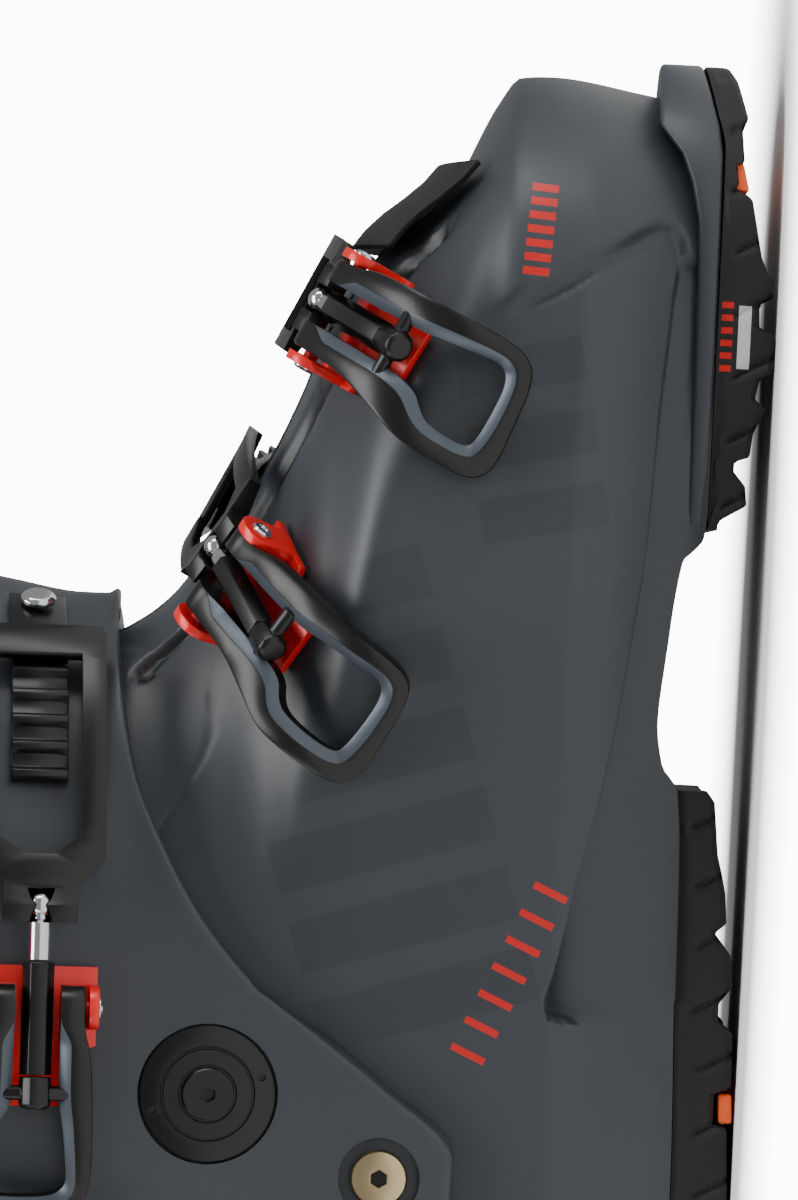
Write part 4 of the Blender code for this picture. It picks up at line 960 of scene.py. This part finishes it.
def buildLever(name, form):
    far, t = form["far"], form["trunnion"]
    boss, height = leverForm["boss"], leverForm["height"]
    # outer edge, then inner edge, from one arm's tip round the window to the other's
    both = cornersCut([
        (-boss, -9.6, -boss, -4.2), (0.1 * far, -9.7, 0.1 * far, -4.2), (0.3 * far, -9.9, 0.3 * far, -4.2),
        (0.45 * far, -11.9, t + 4.4, -4.4), (0.57 * far, -16.0, t + 7.6, -9.6),
        (0.72 * far, -16.4, 0.68 * far, -10.6), (0.93 * far, -16.3, 0.84 * far, -10.8),
        (1.0 * far, -12.0, 0.865 * far, -8.6), (0.985 * far, -2.0, 0.87 * far, -1.5),
        (0.965 * far, 7.0, 0.86 * far, 4.9), (0.91 * far, 11.2, 0.81 * far, 7.6),
        (0.78 * far, 12.6, 0.72 * far, 7.3), (0.6 * far, 12.5, t + 6.5, 6.4),
        (0.42 * far, 12.2, t + 2.0, 5.4),
        (0.2 * far, 11.5, 0.2 * far, 5.2), (0.12 * far, 10.1, 0.12 * far, 5.2), (-boss, 10.1, -boss, 5.2),
    ], leverForm["smoothing"])
    filled = [both[:1]]
    for a, b in zip(both[:-1], both[1:]):
        steps = max(1, int(math.ceil(np.linalg.norm(b[:2] - a[:2]) / 0.9)))
        filled.append(a + (b - a) * (np.arange(1, steps + 1) / steps)[:, None])
    both = np.concatenate(filled)
    outer, inner = both[:, :2], both[:, 2:]
    topLine = curveThrough([(boss * 0.3, height + boss * 0.95), (0.28 * far, 12.7), (0.5 * far, 11.0),
                            (0.78 * far, 8.8), (far, 6.4)])
    lowLine = curveThrough([(boss * 0.3, height - boss * 0.95), (0.24 * far, 7.0), (0.5 * far, 6.0),
                            (0.88 * far, 3.8), (far, 3.8)])

    def levels(s):
        curve = np.sqrt(np.maximum(boss ** 2 - np.clip(s, -boss, boss) ** 2, 0.01))
        top = np.where(s < boss * 0.3, height + curve, topLine(s))
        low = np.where(s < boss * 0.3, height - curve, lowLine(s))
        return top, low

    across = inner - outer
    width = np.linalg.norm(across, axis=1)
    across /= width[:, None]
    drop = leverForm["bevelDrop"] * smooth((outer[:, 0] - 2.0) / 6.0)
    wide = np.minimum(leverForm["bevelWidth"], 0.42 * width) * smooth((outer[:, 0] - 2.0) / 6.0)
    # points round the section: distance in from the outer edge, on the top or not, and shift up or down
    corners = [
        (0.0, False, 0.35), (0.0, True, -0.75), (0.22, True, -0.22), (0.75, True, 0.0),
        (width - wide - 0.2, True, 0.0), (width - wide, True, -0.06), (width - 0.12, True, -0.1 - drop),
        (width, True, -0.25 - drop), (width, False, 0.3), (width - 0.35, False, 0.0), (0.35, False, 0.0),
    ]
    bevelStrips = (5, 6)
    section = []
    for inwards, onTop, shift in corners:
        flat = outer + across * (inwards + np.zeros(len(width)))[:, None]
        top, low = levels(flat[:, 0])
        shift = shift * np.clip((top - low) / 3.0, 0.0, 1.0)
        section.append((flat, np.where(onTop, top, low) + shift))
    put = buckleFrame(form)
    rings = np.stack([put(flat[:, 0], flat[:, 1], level) for flat, level in section], axis=1)
    count = rings.shape[1]
    faces = cappedFaces(len(rings), count)
    bevelled = [k for k in range(len(faces) - 2) if k % count in bevelStrips]
    mesh = bpy.data.meshes.new(name)
    mesh.from_pydata([tuple(p) for p in world(rings.reshape(-1, 3))], [], faces)
    obj = linked(name, mesh)
    painted(obj, "black", "bevel")
    # the inner bevel strips get the light grey of the painted highlight
    for k in bevelled:
        mesh.polygons[k].material_index = 1
    tidyMesh(obj, 32)
    return obj


for buckle, form in buckleForm.items():
    lever = buildLever(buckle + "Lever", form)
    placed(lever, bodyOf[buckle + "_buckle_lever"], "black", buckle + "_buckle_lever")
print("levers ready")

# rivets that the levers turn on
rivetForm = {
    "reach": 12.9,
    "profile": [(2.3, -0.2), (2.3, 0.3), (1.9, 0.7), (1.2, 0.8), (1.1, 0.5), (0.1, 0.5)],
}
for joint in frame["joints"]:
    if not joint["name"].endswith("_lever_swing"):
        continue
    buckle = joint["name"].split("_")[0]
    centre = np.array(joint["pos_m"]) / mm - offset
    axis = np.array(joint["axis"])
    for k in (-1, 1):
        rivet = turnedObject(f"{buckle}Rivet{k + 1}", centre + axis * k * rivetForm["reach"], axis * k,
                             rivetForm["profile"], 28, 30)
        placed(painted(rivet, "chrome"), joint["parent"], "chrome")
print("hard parts ready")


soleForm = {
    "step": 0.6,
    "grooveSpacing": 13.0,
    "grooveDepth": 1.1,
    "tipLength": 8.0,
    "toe": (208.7, 305.4),
    "heel": (0.8, 155.0),
}
toeTread = [
    (208.7, 12.3), (211.5, 8.4), (214, 4.3), (218, 4.8), (221, 7.3), (223, 7.2), (224, 4.2), (229, 3.7),
    (234, 1.4), (236, 3.7), (240, 2.9), (241.6, 0.0), (248, 0.0), (249.5, 0.4), (250.6, 3.5), (255.5, 3.7),
    (257, 1.0), (260, 1.4), (265, 3.7), (277, 6.2), (279, 9.0), (284, 9.6), (284.6, 8.1), (291, 8.7),
    (294, 7.6), (302, 9.8), (305, 11.5), (306, 13.0),
]
heelTread = [
    (0.8, 2.2), (3, 0.6), (8, 0.0), (19, 0.0), (20.4, 3.0), (25, 3.0), (26.4, 0.0), (44, 0.0), (45.4, 3.2),
    (51, 3.2), (52.4, 0.2), (72.8, 0.8), (86, 1.5), (87, 4.4), (92.8, 4.4), (94.4, 1.0), (105.7, 1.3),
    (108, 4.4), (111.6, 4.4), (115, 1.8), (121.6, 2.5), (126, 6.0), (128, 3.7), (134, 4.2), (138, 5.1),
    (142, 6.2), (152.8, 7.4), (155, 9.0),
]
rubberTop = curveThrough([
    (0, 12.4), (72, 12.4), (112, 13.5), (142, 14.4), (155, 15.7), (200, 12.0), (287, 12.2), (296, 14.2),
    (306, 16.6),
])


def soleHalfWidth(x):
    wide = np.minimum(skin["soleWall"](x), 37.5)
    ahead = np.clip((306.0 - x) / 34.0, 0, 1)
    behind = np.clip(x / 22.0, 0, 1)
    return wide * np.sqrt(np.maximum(1e-4, 1 - (1 - ahead) ** 2)) * \
        np.sqrt(np.maximum(1e-4, 1 - (1 - behind) ** 2))


# a block of rubber whose side and bottom are cut by the tread's grooves
def buildSole(name, span, tread, middleRise):
    first, last = span
    middle = np.arange(first + 2, last - 2, soleForm["step"])
    tip = soleForm["tipLength"]
    if name == "toeSole":
        xs = np.concatenate([[first, first + 0.4, first + 1.0], middle[middle < last - tip],
                             last - tip + tip * np.sin(np.linspace(0.0, math.pi / 2, 26))])
    else:
        xs = np.concatenate([first + tip * (1 - np.cos(np.linspace(0, math.pi / 2, 18))),
                             middle[middle > first + tip + 0.3], [last - 1.0, last - 0.4, last]])
    treadX, treadZ = np.array(tread).T
    bottomEdge = np.interp(xs, treadX, treadZ)
    top = rubberTop(xs)
    wide = soleHalfWidth(xs)
    # the side view's teeth run in from the edge; the middle of the sole is smoother
    shares = np.array([-1, -0.985, -0.95, -0.86, -0.74, -0.6, -0.45, -0.3, -0.15, 0, 0.15, 0.3, 0.45, 0.6,
                       0.74, 0.86, 0.95, 0.985, 1])
    flat = np.interp(xs, treadX, treadZ)
    rings = []
    # side walls: heights from top to bottom with grooves slanting back
    walls = np.array([0.0, 0.08, 0.2, 0.32, 0.44, 0.56, 0.68, 0.8, 0.9, 0.97, 1.0])
    for side in (-1, 1):
        for t in (walls if side < 0 else walls[::-1]):
            z = top * (1 - t) + (bottomEdge + 0.3) * t
            slant = xs + (z - 8) * 0.55
            spacing = soleForm["grooveSpacing"]
            tooth = np.exp(-((np.mod(slant, spacing) - 0.5 * spacing) / 0.9) ** 2)
            hollow = soleForm["grooveDepth"] * tooth * smooth((t - 0.25) / 0.2)
            hollow = hollow + 0.5 * smooth((0.2 - t) / 0.1)
            edgeRound = 0.9 * smooth((t - 0.9) / 0.1)
            rings.append(np.stack([xs, side * (wide - hollow - edgeRound), z], -1))
        if side < 0:
            for share in shares[1:-1]:
                z = flat.copy()
                lane = abs(share)
                z = z + middleRise * smooth((0.62 - lane) / 0.1) * 1.2
                z = z + 2.2 * np.exp(-((lane - 0.5) / 0.05) ** 2)
                z = np.minimum(z, top - 2.0)
                rings.append(np.stack([xs, share * (wide - 0.9), z], -1))
    grid = np.stack(rings, axis=1)
    count = grid.shape[1]
    return meshObject(name, grid.reshape(-1, 3), cappedFaces(len(xs), count), 32)


toeSole = painted(buildSole("toeSole", soleForm["toe"], toeTread, 0.8), "labelledRubber")
placed(toeSole, "shell", "rubber", "toe_sole")
heelSole = painted(buildSole("heelSole", soleForm["heel"], heelTread, 0.5), "rubber")
placed(heelSole, "shell", "rubber", "heel_sole")
print("soles ready")


linerForm = {
    "outer": 6.9,
    "shaftInner": 13.9,
    "tongueInner": 15.9,
    "puff": 1.2,
    "quiltPitch": 24.0,
    "tonguePitch": 20.0,
    "quiltStart": 250.0,
    "back": 322.0,
    "front": 296.0,
    "tongueTop": 309.5,
    "footBevel": 0.8,
}


def linerTop(theta):
    return linerForm["back"] + (linerForm["front"] - linerForm["back"]) * 0.5 * (1 - np.cos(theta))


def buildLiner():
    theta = np.radians(np.linspace(-139, 139, 260))
    low = 104.0 + 36.0 * 0.5 * (1 - np.cos(theta))

    def puff(t, grid):
        z = grid[..., 2]
        high = smooth((z - 262.0) / 16.0)
        ridge = np.abs(np.sin((z - linerForm["quiltStart"]) / linerForm["quiltPitch"] * math.pi))
        seam = 1 - np.exp(-((np.abs(np.degrees(t))[None, :] - 62) / 1.2) ** 2)
        return high * linerForm["puff"] * (0.35 + 0.65 * ridge ** 0.5) * seam

    return wallObject("linerShaft", theta, low, linerTop(theta), linerForm["outer"],
                      linerForm["shaftInner"], 70, 3.2, bulge=puff)


linerShaft = painted(buildLiner(), "liner")
placed(linerShaft, "cuff", "liner", "liner_shaft")


def buildTongue():
    theta = np.radians(np.linspace(142, 218, 120))

    def puff(t, grid):
        z = grid[..., 2]
        high = smooth((z - 255.0) / 16.0)
        ridge = np.abs(np.sin((z - linerForm["quiltStart"]) / linerForm["tonguePitch"] * math.pi))
        return high * linerForm["puff"] * ridge ** 0.5

    low = np.full(theta.shape, 141.5)
    across = (np.degrees(theta) - 180.0) / 38.0
    high = linerForm["tongueTop"] - 9.0 * np.abs(across) ** 3
    return wallObject("linerTongue", theta, low, high, linerForm["outer"], linerForm["tongueInner"], 90,
                      3.6, bulge=puff)


linerTongue = painted(buildTongue(), "liner")
placed(linerTongue, "cuff", "liner", "liner_tongue")
linerFoot = polished("liner_foot", linerForm["footBevel"])

strapForm = {
    "low": 236.0,
    "width": 40.0,
    "inset": -6.6,
    "thickness": 2.4,
    "tailOut": 4.9,      # how far the free end's face lies outside the cuff's
    "tailIn": 2.5,
    "tailSpan": (-176, -126),
}


def buildStrap():
    theta = np.radians(np.linspace(0, 360, 480, endpoint=False))
    low = np.full(theta.shape, strapForm["low"])
    high = low + strapForm["width"]
    strap = wallObject("powerStrap", theta, low, high, strapForm["inset"] - strapForm["thickness"],
                       strapForm["inset"], 28, 0.8, closed=True)
    # the free end lies over the strap on the outer side
    theta = np.radians(np.linspace(*strapForm["tailSpan"], 90))
    low = np.full(theta.shape, strapForm["low"] + 1.0)
    high = low + strapForm["width"] - 2.0
    tail = wallObject("strapTail", theta, low, high, strapForm["inset"] - strapForm["tailOut"],
                      strapForm["inset"] - strapForm["tailIn"], 20, 0.8)
    return strap, tail


powerStrap, strapTail = buildStrap()
painted(powerStrap, "webbing")
painted(strapTail, "webbing")
placed(powerStrap, "cuff", "webbing", "power_strap")
placed(strapTail, "cuff", "webbing")


spoilerForm = {"low": 196.0, "high": 305.0, "outer": -0.9, "inner": 6.4, "halfSpan": 48}


def buildSpoiler():
    theta = np.radians(np.linspace(-spoilerForm["halfSpan"], spoilerForm["halfSpan"], 130))
    low = np.full(theta.shape, spoilerForm["low"])
    high = spoilerForm["high"] - 20.0 * np.abs(np.sin(theta))
    return wallObject("rearSpoiler", theta, low, high, spoilerForm["outer"], spoilerForm["inner"], 50, 2.0)


rearSpoiler = painted(buildSpoiler(), "foam")
placed(rearSpoiler, "cuff", "black", "spoiler")


loopForm = {"height": 22.0, "halfWidth": 15.0, "bandWidth": 4.2, "thickness": 0.9, "inset": 10.4}
loopBase = around(np.array([0.0]), linerForm["back"], loopForm["inset"])[0]
loopFoot = loopBase[2] + 0.4


# a folded band of webbing over an arch
def buildPullLoop():
    rows = []
    for i in range(61):
        a = math.pi * i / 60
        y, z = math.cos(a) * loopForm["halfWidth"], loopFoot + math.sin(a) * loopForm["height"]
        ring = []
        for k in range(20):
            b = 2 * math.pi * k / 20
            dx = loopForm["bandWidth"] * np.sign(math.cos(b)) * abs(math.cos(b)) ** 0.5
            dr = loopForm["thickness"] * (1 + np.sign(math.sin(b)) * abs(math.sin(b)) ** 0.5)
            ring.append((loopBase[0] + dx, y + math.cos(a) * dr, z + math.sin(a) * dr))
        rows.append(ring)
    return meshObject("pullLoop", np.array(rows).reshape(-1, 3), cappedFaces(61, 20), 50)


pullLoop = painted(buildPullLoop(), "webbing")
placed(pullLoop, "cuff", "webbing", "pull_loop")
print("soft parts ready")


stitchForm = {"spacing": 3.4, "length": 2.3, "thickness": 0.62}


# geometry nodes that set short threads along a line
def stitchNodes():
    group = bpy.data.node_groups.new("stitches along a line", "GeometryNodeTree")
    face = group.interface
    face.new_socket("Line", in_out="INPUT", socket_type="NodeSocketGeometry")
    for name in ("Spacing", "Length", "Thickness"):
        face.new_socket(name, in_out="INPUT", socket_type="NodeSocketFloat")
    face.new_socket("Material", in_out="INPUT", socket_type="NodeSocketMaterial")
    face.new_socket("Stitches", in_out="OUTPUT", socket_type="NodeSocketGeometry")
    given = group.nodes.new("NodeGroupInput").outputs
    curve = addNode(group, "GeometryNodeMeshToCurve", {0: given["Line"]})
    spaced = addNode(group, "GeometryNodeResampleCurve", {"Curve": curve.outputs[0],
                                                          "Length": given["Spacing"]}, mode="LENGTH")
    thread = addNode(group, "GeometryNodeMeshIcoSphere", {"Radius": 0.5, "Subdivisions": 2})
    scale = addNode(group, "ShaderNodeCombineXYZ", {0: given["Length"], 1: given["Thickness"],
                                                    2: given["Thickness"]})
    tangent = addNode(group, "GeometryNodeInputTangent")
    turn = addNode(group, "FunctionNodeAlignRotationToVector", {"Vector": tangent.outputs[0]}, axis="X")
    copies = addNode(group, "GeometryNodeInstanceOnPoints", {
        "Points": spaced.outputs[0], "Instance": thread.outputs[0], "Rotation": turn.outputs[0],
        "Scale": scale.outputs[0]})
    solid = addNode(group, "GeometryNodeRealizeInstances", {0: copies.outputs[0]})
    finished = addNode(group, "GeometryNodeSetMaterial", {"Geometry": solid.outputs[0],
                                                          "Material": given["Material"]})
    end = group.nodes.new("NodeGroupOutput")
    group.links.new(finished.outputs[0], end.inputs[0])
    return group


stitchGroup = stitchNodes()


def stitched(name, points, body, closed=False):
    places = world(points)
    edges = [(i, i + 1) for i in range(len(places) - 1)] + ([(len(places) - 1, 0)] if closed else [])
    mesh = bpy.data.meshes.new(name)
    mesh.from_pydata([tuple(p) for p in places], edges, [])
    obj = linked(name, mesh)
    modifier = obj.modifiers.new("stitches", "NODES")
    modifier.node_group = stitchGroup
    values = {"Spacing": stitchForm["spacing"] * mm, "Length": stitchForm["length"] * mm,
              "Thickness": stitchForm["thickness"] * mm, "Material": paints["thread"]}
    for item in stitchGroup.interface.items_tree:
        if item.name in values and item.in_out == "INPUT":
            modifier[item.identifier] = values[item.name]
    applied(obj, [modifier])
    obj.data.shade_smooth()
    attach(obj, body)
    return obj


strapFace = strapForm["inset"] - strapForm["thickness"] - 0.15
tailFace = strapForm["inset"] - strapForm["tailOut"] - 0.15
fullTurn = np.radians(np.linspace(0, 360, 300, endpoint=False))
tailTurn = np.radians(np.linspace(-174, -128, 60))
for k, height in enumerate((strapForm["low"] + 3.2, strapForm["low"] + strapForm["width"] - 3.2)):
    uncovered = fullTurn[(fullTurn > math.radians(-1)) & (fullTurn < math.radians(180))]
    stitched(f"strapStitches{k}", around(uncovered, height, strapFace), "cuff")
    behind = np.radians(np.linspace(-96, -1, 80))
    stitched(f"strapStitchesRear{k}", around(behind, height, strapFace), "cuff")
    stitched(f"tailStitches{k}", around(tailTurn, height, tailFace), "cuff")
for k, angle in enumerate((-171.5, -131.0)):
    heights = np.linspace(strapForm["low"] + 3.5, strapForm["low"] + strapForm["width"] - 3.5, 20)
    column = np.array([around(np.array([math.radians(angle)]), z, tailFace)[0] for z in heights])
    stitched(f"tailEnd{k}", column, "cuff")
linerTurn = np.radians(np.linspace(-136, 136, 200))
linerRim = np.array([
    around(np.array([t]), float(linerTop(t)) - 7.0, linerForm["outer"] - 1.1)[0] for t in linerTurn
])
stitched("linerRimStitches", linerRim, "cuff")
for k, shift in enumerate((-3.2, 3.2)):
    arch = [(loopBase[0] + shift, math.cos(a) * (loopForm["halfWidth"] + 1.85),
             loopFoot + math.sin(a) * (loopForm["height"] + 1.85))
            for a in np.linspace(0.08, math.pi - 0.08, 60)]
    stitched(f"loopStitches{k}", np.array(arch), "cuff")
print("stitching ready")


stageForm = {
    "distance": 1.8,
    "aim": (191.06, 74.46),
    "nearPlane": -45.0,
    "visibleHeight": 244.9,
    "backdropGlow": 12.0,
    "ambient": 0.34,
    "floorReach": 12.0,
    "shadowReach": 0.07,
    "whiteFrom": 0.22,
    "shadowSqueeze": 0.45,
}


# white where the camera looks past the boot, softer for the light that falls on it
def addSurroundings():
    surroundings = bpy.data.worlds.new("pale surroundings")
    bpy.context.scene.world = surroundings
    surroundings.use_nodes = True
    tree = surroundings.node_tree
    soft = tree.nodes["Background"]
    soft.inputs[0].default_value = hexColour("#ffffff")
    soft.inputs[1].default_value = stageForm["ambient"]
    bright = addNode(tree, "ShaderNodeBackground", {0: hexColour("#ffffff"), 1: stageForm["backdropGlow"]})
    seen = addNode(tree, "ShaderNodeLightPath").outputs["Is Camera Ray"]
    both = addNode(tree, "ShaderNodeMixShader", {0: seen, 1: soft.outputs[0], 2: bright.outputs[0]})
    tree.links.new(both.outputs[0], tree.nodes["World Output"].inputs[0])


def addFloor():
    mesh = bpy.data.meshes.new("paleFloor")
    reach = stageForm["floorReach"]
    mesh.from_pydata([(-reach, -reach, 0), (reach, -reach, 0), (reach, reach, 0), (-reach, reach, 0)], [],
                     [(0, 1, 2, 3)])
    floor = linked("paleFloor", mesh)
    material = bpy.data.materials.new("pale floor")
    material.use_nodes = True
    shader = shaderOf(material)
    shader.inputs["Base Color"].default_value = hexColour("#fafafa")
    shader.inputs["Roughness"].default_value = 0.9
    shader.inputs["Specular IOR Level"].default_value = 0.1
    mesh.materials.append(material)
    tree = material.node_tree
    glow = addNode(tree, "ShaderNodeEmission", {"Color": hexColour("#ffffff"),
                                                "Strength": stageForm["backdropGlow"]})
    # only the far floor turns white, so the boot keeps its soft shadow
    place = addNode(tree, "ShaderNodeTexCoord").outputs["Object"]
    squeezed = addNode(tree, "ShaderNodeMapping", {"Vector": place,
                                                   "Scale": (stageForm["shadowSqueeze"], 1.0, 1.0)})
    far = addNode(tree, "ShaderNodeVectorMath", {0: squeezed.outputs[0]},
                  operation="LENGTH").outputs["Value"]
    share = addNode(tree, "ShaderNodeMapRange", {
        "Value": far, "From Min": stageForm["shadowReach"], "From Max": stageForm["whiteFrom"]}).outputs[0]
    seen = addNode(tree, "ShaderNodeLightPath").outputs["Is Camera Ray"]
    both = addNode(tree, "ShaderNodeMixShader", {0: mathNode(tree, "MULTIPLY", seen, share),
                                                 1: shader.outputs[0], 2: glow.outputs[0]})
    end = next(n for n in tree.nodes if n.type == "OUTPUT_MATERIAL")
    tree.links.new(both.outputs[0], end.inputs[0])


def addArea(name, place, target, size, power):
    light = bpy.data.lights.new(name, "AREA")
    light.shape = "RECTANGLE"
    light.size, light.size_y = size
    light.energy = power
    lamp = linked(name, light)
    lamp.location = place
    lamp.rotation_euler = (Vector(target) - Vector(place)).to_track_quat("-Z", "Y").to_euler()


addFloor()
addSurroundings()
addArea("overheadSoftbox", (0.2, -0.55, 1.5), (0.03, 0, 0.1), (1.5, 0.7), 24)
addArea("toeSoftbox", (1.5, -0.45, 0.5), (0.1, 0, 0.08), (0.5, 1.1), 10)
addArea("heelSoftbox", (-1.4, -0.7, 0.7), (0.0, 0, 0.1), (0.5, 1.1), 5)


def addCamera():
    data = bpy.data.cameras.new("sideCamera")
    data.sensor_fit = "VERTICAL"
    data.sensor_height = 36.0
    data.lens = 36.0 * stageForm["distance"] / (stageForm["visibleHeight"] * mm)
    camera = linked("sideCamera", data)
    aim = world([stageForm["aim"][0], stageForm["nearPlane"], stageForm["aim"][1]])
    right, up, back = Vector((0.0523, 0, -0.99863)), Vector((0.99863, 0, 0.0523)), Vector((0, -1, 0))
    turn = Matrix((right, up, back)).transposed().to_4x4()
    camera.matrix_world = Matrix.Translation(Vector(aim) + back * stageForm["distance"]) @ turn
    bpy.context.scene.camera = camera


addCamera()
bpy.context.view_layer.update()
print("scene ready")
